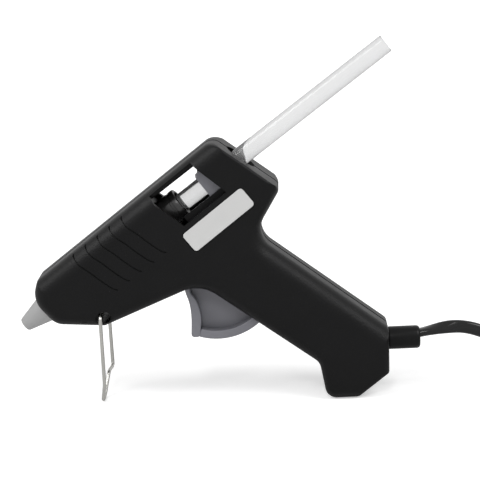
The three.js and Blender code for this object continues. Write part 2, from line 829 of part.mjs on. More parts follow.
// The groove in the arm's inner face that the trunnion slides up as the fork tips
function trunnionSlot() {
  const [hubX, hubZ] = toFeed(pivot.x, pivot.y);
  const towards = new THREE.Vector2(gripperPlace - hubX, -hubZ);
  const far = towards.length() + trunnionRadius + fit;
  const near = -hubZ - trunnionRadius - fit;
  const unit = towards.clone().normalize();
  const side = new THREE.Vector2(-unit.y, unit.x).multiplyScalar(trunnionRadius + 1.5 * fit);
  const at = (reach, way) => [
    hubX + unit.x * reach + side.x * way,
    hubZ + unit.y * reach + side.y * way,
  ];
  const deep = armInner + trunnionSink;
  return onFeed(plate([at(near, -1), at(far, -1), at(far, 1), at(near, 1)], 0, deep));
}

// The gripper: a ring round the stick with a trunnion on each side
function gripperSolid() {
  const [x0, x1] = [gripperPlace - gripperLength / 2, gripperPlace + gripperLength / 2];
  const reach = armInner + trunnionSink - fit;
  const trunnions = pinAlongY(gripperPlace, 0, trunnionRadius, -reach, reach, smallSegments);
  const body = joined(rod(x0, x1, gripperRadius), trunnions);
  return without(body, rod(x0 - overrun, x1 + overrun, boreRadius));
}

// Barrel with its stub, spigot, heater block and melt bore
function barrelSolid() {
  const outer = turned([
    [stubStart, 0],
    [stubStart, stubRadius],
    [barrelStart, stubRadius],
    [barrelStart, barrelRadius],
    [barrelEnd - spigotLength, barrelRadius],
    [barrelEnd - spigotLength, spigotRadius],
    [barrelEnd, spigotRadius],
    [barrelEnd, 0],
  ]);
  const heaterBlock = block(
    [blockStart, -blockHalfWidth, -blockDrop],
    [blockEnd, blockHalfWidth, -boreRadius],
  );
  const pocket = block(
    [blockStart - overrun, -pocketHalfWidth, -pocketTop - pocketHeight],
    [blockEnd + overrun, pocketHalfWidth, -pocketTop],
  );
  const melt = turned([
    [stubStart - overrun, 0],
    [stubStart - overrun, throatRadius],
    [barrelStart + throatRadius, throatRadius],
    [barrelStart + throatRadius + throatCone, boreRadius],
    [barrelEnd + overrun, boreRadius],
    [barrelEnd + overrun, 0],
  ]);
  return without(joined(outer, heaterBlock), pocket, melt);
}

// The flat stack in the heater pocket, from the top: film, plate, stone, plate, film
const filmHalfWidth = pocketHalfWidth - fit;
const filmStart = blockStart + filmSetback;
const filmEnd = blockEnd - filmSetback;
const stackHalfWidth = filmHalfWidth - filmThickness - fit;
const plateTop = filmHeight / 2 - filmThickness - stackGap;
const stoneTop = plateTop - plateThickness - stackGap;
function filmSolid() {
  const [z, h] = [pocketMiddle, filmHeight / 2];
  const outer = block([filmStart, -filmHalfWidth, z - h], [filmEnd, filmHalfWidth, z + h]);
  const inner = block(
    [filmStart - overrun, -filmHalfWidth + filmThickness, z - h + filmThickness],
    [filmEnd + overrun, filmHalfWidth - filmThickness, z + h - filmThickness],
  );
  return without(outer, inner);
}
function electrodeSolid(way) {
  const high = pocketMiddle + (way > 0 ? plateTop : -plateTop + plateThickness);
  const low = high - plateThickness;
  const flat = block([filmStart, -stackHalfWidth, low], [filmEnd, stackHalfWidth, high]);
  const middle = way * tabOffset;
  const tab = block(
    [filmEnd - fit, middle - tabHalfWidth, low],
    [filmEnd + tabLength, middle + tabHalfWidth, high],
  );
  return flat.add(tab);
}
const tabHeight = (way) => pocketMiddle + way * (plateTop - plateThickness / 2);

function clipSolid() {
  const [x0, x1] = [(blockStart + blockEnd - clipLength) / 2, (blockStart + blockEnd + clipLength) / 2];
  const inner = blockHalfWidth + fit;
  const bottom = -blockDrop - fit;
  const outer = block(
    [x0, -inner - clipThickness, bottom - clipThickness],
    [x1, inner + clipThickness, bottom + clipHeight],
  );
  return without(outer, block([x0 - overrun, -inner, bottom], [x1 + overrun, inner, overrun]));
}

function sleeveSolid() {
  const step = barrelEnd + fit;
  const round = sleeveLip / 4;
  return turned([
    [sleeveStart, spigotRadius + fit],
    [sleeveStart, sleeveRadius],
    [sleeveEnd - round, sleeveRadius],
    [sleeveEnd, sleeveRadius - round],
    [sleeveEnd, boreRadius + sleeveFlare],
    [sleeveEnd - sleeveLip, boreRadius],
    [step, boreRadius],
    [step, spigotRadius + fit],
    [sleeveStart, spigotRadius + fit],
  ]);
}

// The wire stand: two ends in the housing's holes, two legs, shoulders and a narrow round foot
function standSolid() {
  const { x, y: z } = standPivot;
  const footX = x - standLean;
  const kneeX = x - standLean / 3;
  const half = [
    [x, halfWidth - standGrip, z],
    [x, standLegOut, z],
    [x, standShoulderOut, standShoulderHeight],
    [kneeX, standKneeOut, standShoulderHeight],
    [footX, standFootOut, standWire],
  ];
  const points = [
    ...half.map(([px, py, pz]) => new THREE.Vector3(px, py, pz)),
    ...half.map(([px, py, pz]) => new THREE.Vector3(px, -py, pz)).reverse(),
  ];
  const line = rounded(points, standWire * 2.5, 4);
  return swept(line, circle(standWire, 8), new THREE.Vector3(1, 0, 0));
}

// Strain relief: flange and neck held in the wall, and the round boot outside
function reliefSolid() {
  const innerFace = bodyLength - wall;
  return turned([
    [innerFace - fit - reliefFlangeLength, 0],
    [innerFace - fit - reliefFlangeLength, reliefFlangeRadius],
    [innerFace - fit, reliefFlangeRadius],
    [innerFace - fit, reliefNeckRadius],
    [bodyLength + fit, reliefNeckRadius],
    [bodyLength + fit, reliefRadius],
    [bodyLength + reliefReach - reliefCorner, reliefRadius],
    [bodyLength + reliefReach - reliefCorner / 3, reliefRadius - reliefCorner / 3],
    [bodyLength + reliefReach, reliefRadius - reliefCorner],
    [bodyLength + reliefReach, 0],
  ]);
}

// A lead inside the housing: from the strain relief through the clamp, up the handle beside the
// trigger and forward to its terminal
function leadSolid(way) {
  const height = reliefHeightShare * bodyHeight;
  const start = bodyLength - wall - 2 * fit - reliefFlangeLength;
  const clampX = bodyLength - clampSetback;
  const spread = leadRadius + fit;
  const out = way * leadOut;
  const tabX = filmEnd + tabLength + terminalLength + 2 * fit;
  const [endX, endZ] = toBody(tabX, tabHeight(way));
  const [bendX, bendZ] = toBody(tabX + 4 * leadRadius, tabHeight(way) - leadRadius);
  const side = way * tabOffset;
  const points = [
    [start, 0, height + way * spread],
    [clampX, 0, height + way * spread],
    [clampX - 1.6 * clampWidth, 0, height + way * spread],
    [bodyLength * 0.82, out, bodyHeight * 0.375],
    [bodyLength * 0.71, out, bodyHeight * 0.5],
    [bodyLength * 0.6, out, bodyHeight * 0.59],
    [bodyLength * 0.47, out, bodyHeight * 0.6],
    [bodyLength * 0.42, way * leadOut / 2, bodyHeight * 0.595],
    [bendX, side, bendZ],
    [endX, side, endZ],
  ].map(([x, y, z]) => new THREE.Vector3(x, y, z));
  return swept(rounded(points, 3 * leadRadius, 2), circle(leadRadius, 6), new THREE.Vector3(0.1, 0.2, 1));
}

// Cord sections: flat twin, its width kept upright
const cordSection = [
  [0, cordWidth / 2],
  [-cordThickness / 2, cordWidth * 0.28],
  [-cordThickness / 2, -cordWidth * 0.28],
  [0, -cordWidth / 2],
  [cordThickness / 2, -cordWidth * 0.28],
  [cordThickness / 2, cordWidth * 0.28],
];

// The cord's free stretch, as points chosen by hand: how far behind the boot, aside and up
const bootEnd = bodyLength + reliefReach;
const cordRoute = [
  [0.6, 0, 21.8],
  [3.8, 0, 22.4],
  [7.8, 0, 23.1],
  [11.8, 0, 23.5],
  [15.8, 0, 23.4],
  [19.8, 0, 22.6],
  [23.8, 0, 21.2],
  [27.8, 0, 19.5],
  [31.8, 0, 17.7],
  [35.8, 0, 16],
  [39.8, 0, 14.3],
  [43.8, 0, 12.6],
  [47.8, 0, 10.9],
  [51.8, 0, 9.2],
  [55.8, 0, 7.5],
  [59.8, 0, 5.9],
  [63.8, 0, 4.5],
  [67.8, 0, 3.4],
  [71.8, 0, 2.8],
  [75.8, 0, 2.6],
];
const coilOuterRadius = coilInnerRadius + (coilPitch * coilLoops) / 2;
const hankLeft = bootEnd + hankSetback;
const hankRight = hankLeft + hankRun;
const cordFloor = 2.6;
const hankTop = cordFloor + coilLayerRise + cordWidth / 2;

function cordSolid() {
  const points = cordRoute.map(([back, aside, up]) => new THREE.Vector3(bootEnd + back, aside, up));
  const curve = new THREE.CatmullRomCurve3(points, false, "centripetal");
  return swept(curve.getPoints(34), cordSection, new THREE.Vector3(0, 0, 1));
}

// The hank's centre line: round end loops joined by straight runs, outwards along the lower layer
// and back inwards along the upper, with the climb between them on the front run
function coilPoints() {
  const half = coilLoops / 2;
  const points = [];
  const total = coilLoops * coilSteps;
  for (let i = 0; i <= total; i++) {
    const turns = i / coilSteps - half;
    const radius = coilOuterRadius - coilPitch * Math.abs(turns);
    const angle = -Math.PI / 2 + turns * 2 * Math.PI;
    const [out, aside] = [radius * Math.cos(angle), radius * Math.sin(angle)];
    const atFront = i % coilSteps === 0;
    const atBack = i % coilSteps === coilSteps / 2;
    const toRight = (i % coilSteps) * 2 < coilSteps;
    const shares = [atFront && i > 0 ? 0 : null, i === total || !turns ? null : 1];
    const ends = turns ? shares : [0, 1 / 4, 1 / 2, 3 / 4, 1];
    if (atFront) {
      for (const share of ends.filter((value) => value !== null)) {
        const climb = turns < 0 ? 0 : turns > 0 ? 1 : THREE.MathUtils.smoothstep(share, 0, 1);
        points.push(new THREE.Vector3(hankLeft + share * hankRun, aside, cordFloor + climb * coilLayerRise));
      }
      continue;
    }
    const low = cordFloor + (turns > 0 ? coilLayerRise : 0);
    const spans = atBack ? [hankRight, hankLeft] : [(toRight ? hankRight : hankLeft) + out];
    for (const x of spans) points.push(new THREE.Vector3(x, aside, low));
  }
  return points;
}

// The whole of the put-away cord: in from the middle, round the hank, and up to the plug on top
function coilLine() {
  const turns = coilPoints();
  const first = bootEnd + cordRoute[cordRoute.length - 1][0] + fit;
  const lead = [0, 1 / 7, 2 / 7, 3 / 7, 4 / 7, 5 / 7, 6 / 7].map((share) => {
    const aside = -coilInnerRadius * THREE.MathUtils.smoothstep(share, 0, 1);
    return new THREE.Vector3(THREE.MathUtils.lerp(first, hankRight, share), aside, cordFloor);
  });
  const last = turns[turns.length - 1];
  const out = [0, 1 / 8, 1 / 4, 3 / 8, 1 / 2, 5 / 8, 3 / 4, 7 / 8, 1].map((share) => {
    const rise = THREE.MathUtils.smoothstep(share, 0, 1);
    const x = THREE.MathUtils.lerp(last.x + plugRunLevel, last.x + plugRun, share);
    const z = THREE.MathUtils.lerp(last.z, hankTop + fit + plugHeight / 2, rise);
    return new THREE.Vector3(x, last.y * (1 - rise), z);
  });
  return [...lead, ...turns, ...out];
}

// The least gap between two stretches of the coil half a turn or more apart, over points on the
// corners and the edge middles of their sections
function leastCoilGap(line) {
  const around = ringsAlong(line, cordSection, new THREE.Vector3(0, 0, 1)).map((corners) =>
    corners.flatMap((p, i) => [p, p.clone().lerp(corners[(i + 1) % corners.length], 1 / 2)]),
  );
  let least = Infinity;
  for (let i = 0; i < line.length; i++) {
    for (let j = i + coilSteps / 2; j < line.length; j++) {
      if (line[i].distanceTo(line[j]) > 2 * cordWidth) continue;
      for (const a of around[i]) {
        for (const b of around[j]) least = Math.min(least, a.distanceTo(b));
      }
    }
  }
  return least;
}

function tieSolid() {
  const top = hankTop + tieFit;
  const outer = coilOuterRadius + cordThickness / 2 + tieFit;
  const x0 = hankLeft + tieSetback;
  const skin = outer + tieThickness;
  const around = block([x0, -skin, 0], [x0 + tieWidth, skin, top + tieThickness]);
  return without(around, block([x0 - overrun, -outer, -overrun], [x0 + tieWidth + overrun, outer, top]));
}

const plugStart = hankLeft + plugRun + fit;
function plugSolid() {
  const y = 0;
  const front = plugStart + plugLength;
  const shape = new THREE.Shape();
  shape.moveTo(plugStart, y - plugNeck / 2);
  shape.lineTo(plugStart + plugLength / 3, y - plugNeck / 2);
  shape.lineTo(front - plugLength / 4, y - plugWidth / 2);
  shape.lineTo(front, y - plugWidth / 2);
  shape.lineTo(front, y + plugWidth / 2);
  shape.lineTo(front - plugLength / 4, y + plugWidth / 2);
  shape.lineTo(plugStart + plugLength / 3, y + plugNeck / 2);
  shape.lineTo(plugStart, y + plugNeck / 2);
  const bevel = plugHeight / 8;
  const geometry = new THREE.ExtrudeGeometry(shape, {
    depth: plugHeight - 2 * bevel,
    bevelThickness: bevel,
    bevelSize: bevel,
    bevelOffset: -bevel,
    bevelSegments: 2,
  });
  geometry.translate(0, 0, bevel + hankTop + fit);
  return solid(geometry);
}

// Assembly
const applicator = new THREE.Group();
function add(name, made, material, parent = applicator) {
  const mesh = new THREE.Mesh(geometryOf(made), material);
  mesh.name = name;
  parent.add(mesh);
  return mesh;
}

add("left_shell", mirrored(housingHalf(true)), blackPlastic);
add("right_shell", housingHalf(false), blackPlastic);
add("label_plate", mirrored(labelSolid(0, labelTop - labelThickness, labelTop)), labelStock);

screwShares.forEach(([shareX, shareZ], i) => {
  const [x, z] = [shareX * bodyLength, shareZ * bodyHeight];
  const headTop = halfWidth - headRecess;
  const headLow = headTop - screwHeadHeight + fit;
  const shank = pinAlongY(x, z, screwRadius, headTop - screwLength, headLow + fit, smallSegments);
  const head = pinAlongY(x, z, screwHeadRadius, headLow, headTop, smallSegments);
  const cross = screwRadius / 3;
  const floor = headTop - cross;
  const across = block([x - screwRadius, floor, z - cross], [x + screwRadius, halfWidth, z + cross]);
  const down = block([x - cross, floor, z - screwRadius], [x + cross, halfWidth, z + screwRadius]);
  add("shell_screw_" + (i + 1), without(shank.add(head), across, down), springSteel);
});

applicator.add(feed);
add("nozzle", turned(nozzleProfile), castAluminium, feed);
const collar = ring(collarStart, collarStart + collarLength, shankRadius + fit, collarRadius);
add("nozzle_collar", collar, silicone, feed);
const ball = new THREE.SphereGeometry(ballRadius, smallSegments, smallSegments / 2);
ball.translate(ballPlace, 0, 0);
add("check_ball", solid(ball), steel, feed);
const ballSpringWire = 0.2;
const ballSpringGap = 0.05;
const ballSpringCurls = 5;
const ballSpringRadius = chamberRadius - fit - ballSpringWire - ballSpringGap;
const ballFront = ballPlace - Math.sqrt(ballRadius ** 2 - (ballSpringRadius - ballSpringWire) ** 2);
const ballSpringEnd = ballFront - ballLift - ballSpringWire - fit / 2;
const ballSpringStart = -nozzleReach + orificeLength + chamberRadius - orificeRadius + fit / 2;
const ballSpring = helix(ballSpringStart, ballSpringEnd, ballSpringRadius, ballSpringWire, ballSpringCurls);
add("ball_spring", ballSpring, springSteel, feed);
add("melting_barrel", barrelSolid(), castAluminium, feed);
add("insulating_film", filmSolid(), film, feed);
add("electrode_plate_upper", electrodeSolid(1), brass, feed);
add("electrode_plate_lower", electrodeSolid(-1), brass, feed);
const stone = block(
  [filmStart + filmSetback, -stackHalfWidth, pocketMiddle - stoneTop],
  [filmEnd - filmSetback, stackHalfWidth, pocketMiddle + stoneTop],
);
add("ptc_heater", stone, ceramic, feed);
add("heater_clip", clipSolid(), springSteel, feed);
for (const [name, way] of [["upper", 1], ["lower", -1]]) {
  const start = filmEnd + tabLength + fit;
  const barrel = rod(start, start + terminalLength, terminalRadius, 10);
  const move = new THREE.Matrix4().makeTranslation(0, way * tabOffset, tabHeight(way));
  add("terminal_" + name, solid(geometryOf(barrel), move), brass, feed);
  add("lead_wire_" + name, leadSolid(way), wireWhite);
}
add("inlet_sleeve", sleeveSolid(), blackSilicone, feed);
const clampPlace = sleeveStart + spigotLength / 2;
add(
  "sleeve_clamp",
  ring(clampPlace, clampPlace + clampLength, sleeveRadius + fit, sleeveRadius + fit + clampWire),
  springSteel,
  feed,
);
add("gripper", gripperSolid(), greyPlastic, feed);
add("glue_stick", rod(stickStart, stickStart + stickLength, stickRadius, 24), clearGlue, feed);

add("trigger", triggerSolid(), greyPlastic);
const pinEnd = halfWidth - wall - fit;
add("trigger_pin", pinAlongY(pivot.x, pivot.y, pinRadius, -pinEnd, pinEnd, smallSegments), springSteel);
const springLow = pivot.y + springArmTop + fit + returnSpringWire;
const springHigh = pivot.y + springArmTop + fit + returnSpringLength - returnSpringWire;
const upright = new THREE.Matrix4().makeRotationY(-Math.PI / 2);
upright.setPosition(pivot.x + returnSpringPlace, 0, 0);
const returnSpring = helix(springLow, springHigh, returnSpringRadius, returnSpringWire, returnSpringCurls);
add("return_spring", solid(geometryOf(returnSpring), upright), springSteel);
add("stand_wire", standSolid(), steel);

const reliefHeightNow = reliefHeightShare * bodyHeight;
const atRelief = new THREE.Matrix4().makeTranslation(0, 0, reliefHeightNow);
add("strain_relief", solid(geometryOf(reliefSolid()), atRelief), blackSilicone);
const clampX = bodyLength - clampSetback;
const clampFar = -leadRadius - fit;
const clampBar = block(
  [clampX - clampWidth / 2, clampFar - clampThickness, reliefHeightNow - clampLengthAcross / 2],
  [clampX + clampWidth / 2, clampFar, reliefHeightNow + clampLengthAcross / 2],
);
const barHoles = clampScrewPlaces().map(([x, z]) =>
  pinAlongY(x, z, clampScrewRadius + fit, -bodyWidth, bodyWidth, smallSegments),
);
add("cord_clamp", without(clampBar, ...barHoles), blackPlastic);
clampScrewPlaces().forEach(([x, z], i) => {
  const headHigh = clampFar - clampThickness - fit;
  const shank = pinAlongY(x, z, clampScrewRadius, headHigh - fit, headHigh + clampScrewLength, 10);
  const head = pinAlongY(x, z, clampScrewHead, headHigh - screwHeadHeight, headHigh, smallSegments);
  add("clamp_screw_" + (i + 1), shank.add(head), springSteel);
});

add("cord", cordSolid(), cordBlack);
const line = coilLine();
add("cord_coil", swept(line, cordSection, new THREE.Vector3(0, 0, 1)), cordBlack);
console.log("least gap between the coil's turns: " + leastCoilGap(line).toFixed(2) + " mm");
add("cord_tie", tieSolid(), cordBlack);
add("plug_body", plugSolid(), cordBlack);
for (const way of [-1, 1]) {
  const x0 = plugStart + plugLength + fit;
  const prong = rod(x0, x0 + plugPinLength, plugPinRadius, 12);
  const y = (way * plugPinSpacing) / 2;
  const move = new THREE.Matrix4().makeTranslation(0, y, hankTop + fit + plugHeight / 2);
  add(way < 0 ? "plug_pin_1" : "plug_pin_2", solid(geometryOf(prong), move), steel);
}

// The part's origin: on the floor, under the middle of the applicator from nozzle tip to boot
const [tipX] = toBody(-nozzleReach, nozzleTipRadius - nozzleTipChamfer);
applicator.position.x = -(tipX + bootEnd) / 2;

export default applicator;
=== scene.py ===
import bpy
import numpy as np
from mathutils import Matrix, Vector


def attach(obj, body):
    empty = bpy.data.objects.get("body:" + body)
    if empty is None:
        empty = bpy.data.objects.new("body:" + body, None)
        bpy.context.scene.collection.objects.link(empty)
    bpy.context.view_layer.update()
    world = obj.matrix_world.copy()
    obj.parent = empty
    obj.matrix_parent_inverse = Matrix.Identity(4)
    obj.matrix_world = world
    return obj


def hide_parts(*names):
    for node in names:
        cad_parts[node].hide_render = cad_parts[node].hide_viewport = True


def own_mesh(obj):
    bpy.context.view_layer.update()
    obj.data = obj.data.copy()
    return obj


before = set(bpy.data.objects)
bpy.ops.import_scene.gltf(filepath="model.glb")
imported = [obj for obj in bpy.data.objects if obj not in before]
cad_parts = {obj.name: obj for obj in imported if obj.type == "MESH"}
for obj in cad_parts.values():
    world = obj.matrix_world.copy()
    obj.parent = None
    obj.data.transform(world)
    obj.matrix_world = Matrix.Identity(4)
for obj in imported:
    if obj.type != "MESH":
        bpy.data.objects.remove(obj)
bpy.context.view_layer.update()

# Camera
# It stands where the photograph was taken from: a little above the tool, square to its left side,
# tipped by a few degrees. Metres and degrees.
azimuth, elevation, tip = np.radians([2.0, 12.5, 3.0])
camera_aim = Vector((0.0094, 0, 0.0612))
camera_distance = 0.6
back = Vector((np.sin(azimuth) * np.cos(elevation), -np.cos(azimuth) * np.cos(elevation), np.sin(elevation)))
level_right = Vector((np.cos(azimuth), np.sin(azimuth), 0))
level_up = back.cross(level_right)
camera_right = level_right * np.cos(tip) - level_up * np.sin(tip)
camera_up = level_right * np.sin(tip) + level_up * np.cos(tip)
camera_data = bpy.data.cameras.new("camera")
camera_data.lens = 118.35
camera_data.sensor_width = 36
camera = bpy.data.objects.new("camera", camera_data)
camera.matrix_world = Matrix.Translation(camera_aim + back * camera_distance) @ Matrix(
    (camera_right, camera_up, back)
).transposed().to_4x4()
bpy.context.scene.collection.objects.link(camera)
bpy.context.scene.camera = camera

# Cord
# A flat twin mains lead, black vinyl over two cores, 5 mm by 3 mm and 1.14 m long. It leaves the
# rubber boot, drops to the bench and is put away as a tied hank of two layers.
mm = 0.001
body_length, body_height, body_width = 134.5, 100.7, 26.0
half_width = body_width / 2
boot_reach = 12.2
boot_end = body_length + boot_reach
# The housing is drawn with X from its nose, and this shift takes it to its place in the frame
shift = -70.20246860865184
clearance = 0.3
boot_x = boot_end + shift
cord_width, cord_thickness = 5.0, 3.0
cord_route = np.array(
    [
        [-1.6, 0, 21.4],
        [0.6, 0, 21.8],
        [3.8, 0, 22.4],
        [7.8, 0, 23.1],
        [11.8, 0, 23.5],
        [15.8, 0, 23.4],
        [19.8, 0, 22.6],
        [23.8, 0, 21.2],
        [27.8, 0, 19.5],
        [31.8, 0, 17.7],
        [35.8, 0, 16],
        [39.8, 0, 14.3],
        [43.8, 0, 12.6],
        [47.8, 0, 10.9],
        [51.8, 0, 9.2],
        [55.8, 0, 7.5],
        [59.8, 0, 5.9],
        [63.8, 0, 4.5],
        [67.8, 0, 3.4],
        [71.8, 0, 2.8],
        [75.8, 0, 2.6],
    ]
) + [boot_x, 0, 0]
coil_loops, coil_inner, coil_pitch, coil_rise, coil_floor = 4, 15.2, 3.5, 5.5, 2.6
coil_outer = coil_inner + coil_pitch * coil_loops / 2
half_loop_points, run_points, least_step = 25, 17, 0.05
hank_left, hank_right = boot_x + 53.2, boot_x + 123.2
hank_top = coil_floor + coil_rise + cord_width / 2
plug_height, plug_run = 13.6, 42.8
lift_start, lift_run = 8.8, 34
twist_run, twist_points = 18, 60


def through(points, steps):
    """A smooth line through points: each span is the cubic whose slopes are half the chord
    between the points either side of it."""
    padded = np.vstack([2 * points[0] - points[1], points, 2 * points[-1] - points[-2]])
    p0, p1, p2, p3 = padded[:-3, None], padded[1:-2, None], padded[2:-1, None], padded[3:, None]
    t = np.linspace(0, 1, steps, endpoint=False)[None, :, None]
    spans = p1 + t / 2 * (p2 - p0) + t**2 / 2 * (2 * p0 - 5 * p1 + 4 * p2 - p3)
    spans = spans + t**3 / 2 * (3 * p1 - p0 - 3 * p2 + p3)
    return np.vstack([spans.reshape(-1, 3), points[-1:]])


def smoothstep(low, high, value):
    """Runs from 0 at low to 1 at high along the cubic 3 t^2 - 2 t^3."""
    t = np.clip((value - low) / (high - low), 0, 1)
    return t * t * (3 - 2 * t)


# Round end loops joined by straight runs: outwards on the lower layer, back inwards on the upper
half_loop = np.arange(coil_loops * 2)[:, None]
coil_turn = (half_loop + np.linspace(0, 1, half_loop_points)) / 2 - coil_loops / 2
coil_radius = coil_outer - coil_pitch * np.abs(coil_turn)
coil_angle = 2 * np.pi * coil_turn - np.pi / 2
coil_line = np.stack(
    [
        np.where(half_loop % 2, hank_left, hank_right) + coil_radius * np.cos(coil_angle),
        coil_radius * np.sin(coil_angle),
        coil_floor + coil_rise * (half_loop >= coil_loops) + 0 * coil_turn,
    ],
    axis=-1,
).reshape(-1, 3)
share = np.linspace(0, 1, run_points)
climb_line = np.stack(
    [
        hank_left + (hank_right - hank_left) * share,
        np.full(run_points, -coil_outer),
        coil_floor + coil_rise * smoothstep(0, 1, share),
    ],
    axis=1,
)
lower = coil_loops * half_loop_points
coil_line = np.vstack([coil_line[: lower - 1], climb_line, coil_line[lower + 1 :]])
lead_start = cord_route[-1, 0] + clearance
lead_line = np.stack(
    [
        lead_start + (hank_right - lead_start) * share,
        -coil_inner * smoothstep(0, 1, share),
        np.full(run_points, coil_floor),
    ],
    axis=1,
)
plug_z = hank_top + clearance + plug_height / 2
out_line = np.stack(
    [
        hank_left + lift_start + lift_run * share,
        coil_line[-1, 1] * (1 - smoothstep(0, 1, share)),
        coil_line[-1, 2] + (plug_z - coil_line[-1, 2]) * smoothstep(0, 1, share),
    ],
    axis=1,
)
cord_line = np.vstack([through(cord_route, 4), lead_line, coil_line, out_line])
apart = np.linalg.norm(np.diff(cord_line, axis=0), axis=1)
cord_line = cord_line[np.concatenate([[True], apart > least_step])]


def spun(points, angle):
    """Points of a plane turned about its origin by an angle."""
    x, y = points[..., 0], points[..., 1]
    return np.stack([x * np.cos(angle) - y * np.sin(angle), x * np.sin(angle) + y * np.cos(angle)], axis=-1)


def moved(rings, place):
    """Rings carried by a matrix in millimetres."""
    return rings @ np.array(place.to_3x3()).T + np.array(place.translation)


def along_line(line):
    """Unit direction at each point of a line: the difference of its neighbours."""
    steps = np.gradient(line, axis=0)
    return steps / np.linalg.norm(steps, axis=1, keepdims=True)


def swept(line, section, up):
    """Rings of a section, or of one for each point, carried along a line: the section's first
    axis is the line's direction crossed with up, the second is square to both."""
    direction = along_line(line)
    side = np.cross(direction, up)
    side /= np.linalg.norm(side, axis=1, keepdims=True)
    top = np.cross(side, direction)
    if section.ndim == 2:
        section = np.broadcast_to(section, (len(line), *section.shape))
    return line[:, None] + section[..., :1] * side[:, None] + section[..., 1:] * top[:, None]


def skin(rings, name, closed_path=False, capped=True):
    """A mesh over rings of points in millimetres: four-sided faces between neighbouring rings,
    and a face of many sides over each end."""
    count, around = rings.shape[:2]
    i = np.arange(count if closed_path else count - 1)[:, None]
    j = np.arange(around)[None, :]
    i2, j2 = (i + 1) % count, (j + 1) % around
    quads = np.stack([i * around + j, i * around + j2, i2 * around + j2, i2 * around + j], axis=-1)
    faces = quads.reshape(-1, 4).tolist()
    if capped and not closed_path:
        faces += [list(range(around))[::-1], list(range((count - 1) * around, count * around))]
    mesh = bpy.data.meshes.new(name)
    mesh.from_pydata((rings.reshape(-1, 3) * mm).tolist(), [], faces)
    mesh.validate()
    outward(mesh)
    piece = bpy.data.objects.new(name, mesh)
    bpy.context.scene.collection.objects.link(piece)
    return piece


def outward(mesh):
    """Turns a closed mesh's faces outwards if its signed volume is negative."""
    mesh.calc_loop_triangles()
    corners = np.empty(len(mesh.loop_triangles) * 3, np.int32)
    mesh.loop_triangles.foreach_get("vertices", corners)
    places = np.empty(len(mesh.vertices) * 3)
    mesh.vertices.foreach_get("co", places)
    a, b, c = places.reshape(-1, 3)[corners.reshape(-1, 3)].transpose(1, 0, 2)
    if np.einsum("ij,ij->i", a, np.cross(b, c)).sum() < 0:
        mesh.flip_normals()


def softened(piece, degrees=35):
    """Smooth shading, with edges kept sharp above an angle."""
    mesh = piece.data
    mesh.polygons.foreach_set("use_smooth", np.ones(len(mesh.polygons), bool))
    mesh.set_sharp_from_angle(angle=np.radians(degrees))
    return piece


def plastic(name, color, roughness, grain=0.0, grain_size=0.4, mottle=0.0, metallic=0.0, gloss=0.5):
    """A moulded or metal finish: noise of the grain's size in millimetres lifts the surface, and
    a broader noise varies colour and roughness by the mottle's share."""
    material = bpy.data.materials.new(name)
    material.use_nodes = True
    nodes, links = material.node_tree.nodes, material.node_tree.links
    shader = nodes["Principled BSDF"]
    shader.inputs["Metallic"].default_value = metallic
    shader.inputs["Specular IOR Level"].default_value = gloss
    place = nodes.new("ShaderNodeTexCoord")
    broad = nodes.new("ShaderNodeTexNoise")
    broad.inputs["Scale"].default_value = 1 / (12 * mm)
    broad.inputs["Detail"].default_value = 6
    links.new(place.outputs["Object"], broad.inputs["Vector"])
    tint = nodes.new("ShaderNodeMix")
    tint.data_type = "RGBA"
    links.new(broad.outputs["Fac"], tint.inputs["Factor"])
    low, high = 1 - mottle, 1 + mottle
    tint.inputs[6].default_value = (*[min(c * low, 1) for c in color], 1)
    tint.inputs[7].default_value = (*[min(c * high, 1) for c in color], 1)
    links.new(tint.outputs[2], shader.inputs["Base Color"])
    rough = nodes.new("ShaderNodeMapRange")
    rough.inputs["To Min"].default_value = roughness * (1 - mottle / 2)
    rough.inputs["To Max"].default_value = min(roughness * (1 + mottle / 2), 1)
    links.new(broad.outputs["Fac"], rough.inputs["Value"])
    links.new(rough.outputs["Result"], shader.inputs["Roughness"])
    fine = nodes.new("ShaderNodeTexNoise")
    fine.inputs["Scale"].default_value = 1 / (grain_size * mm)
    fine.inputs["Detail"].default_value = 3
    links.new(place.outputs["Object"], fine.inputs["Vector"])
    bump = nodes.new("ShaderNodeBump")
    bump.inputs["Strength"].default_value = min(grain, 1)
    bump.inputs["Distance"].default_value = 0.1 * mm
    links.new(fine.outputs["Fac"], bump.inputs["Height"])
    links.new(bump.outputs["Normal"], shader.inputs["Normal"])
    return material


def settled(piece, body, slot, material, *nodes):
    """Gives a piece its finish, the body that it rides on and the nodes that it stands for."""
    piece.data.materials.clear()
    piece.data.materials.append(material)
    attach(piece, body)
    if nodes:
        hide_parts(*nodes)


def stadium(width, height, count):
    """A flat section with round ends: a circle of half the width, its halves drawn apart."""
    angle = np.linspace(0, 2 * np.pi, count, endpoint=False)
    x, y = np.cos(angle) * width / 2, np.sin(angle) * width / 2
    return np.stack([x, y + np.sign(y) * (height - width) / 2], axis=1)


vinyl = plastic("black vinyl", (0.004, 0.004, 0.004), 0.12, grain=0.03, grain_size=1.5, mottle=0.2, gloss=0.3)
near_boot = (np.arange(len(cord_line)) < twist_points)[:, None]
cord_twist = np.pi / 2 * (1 - smoothstep(0, twist_run, cord_line[:, :1] - boot_x)) * near_boot
cord_section = spun(stadium(cord_thickness, cord_width, 20), cord_twist)
cord = softened(skin(swept(cord_line, cord_section, [0, 0, 1]), "flat_cord"))
settled(cord, "housing", "cord", vinyl, "cord", "cord_coil")

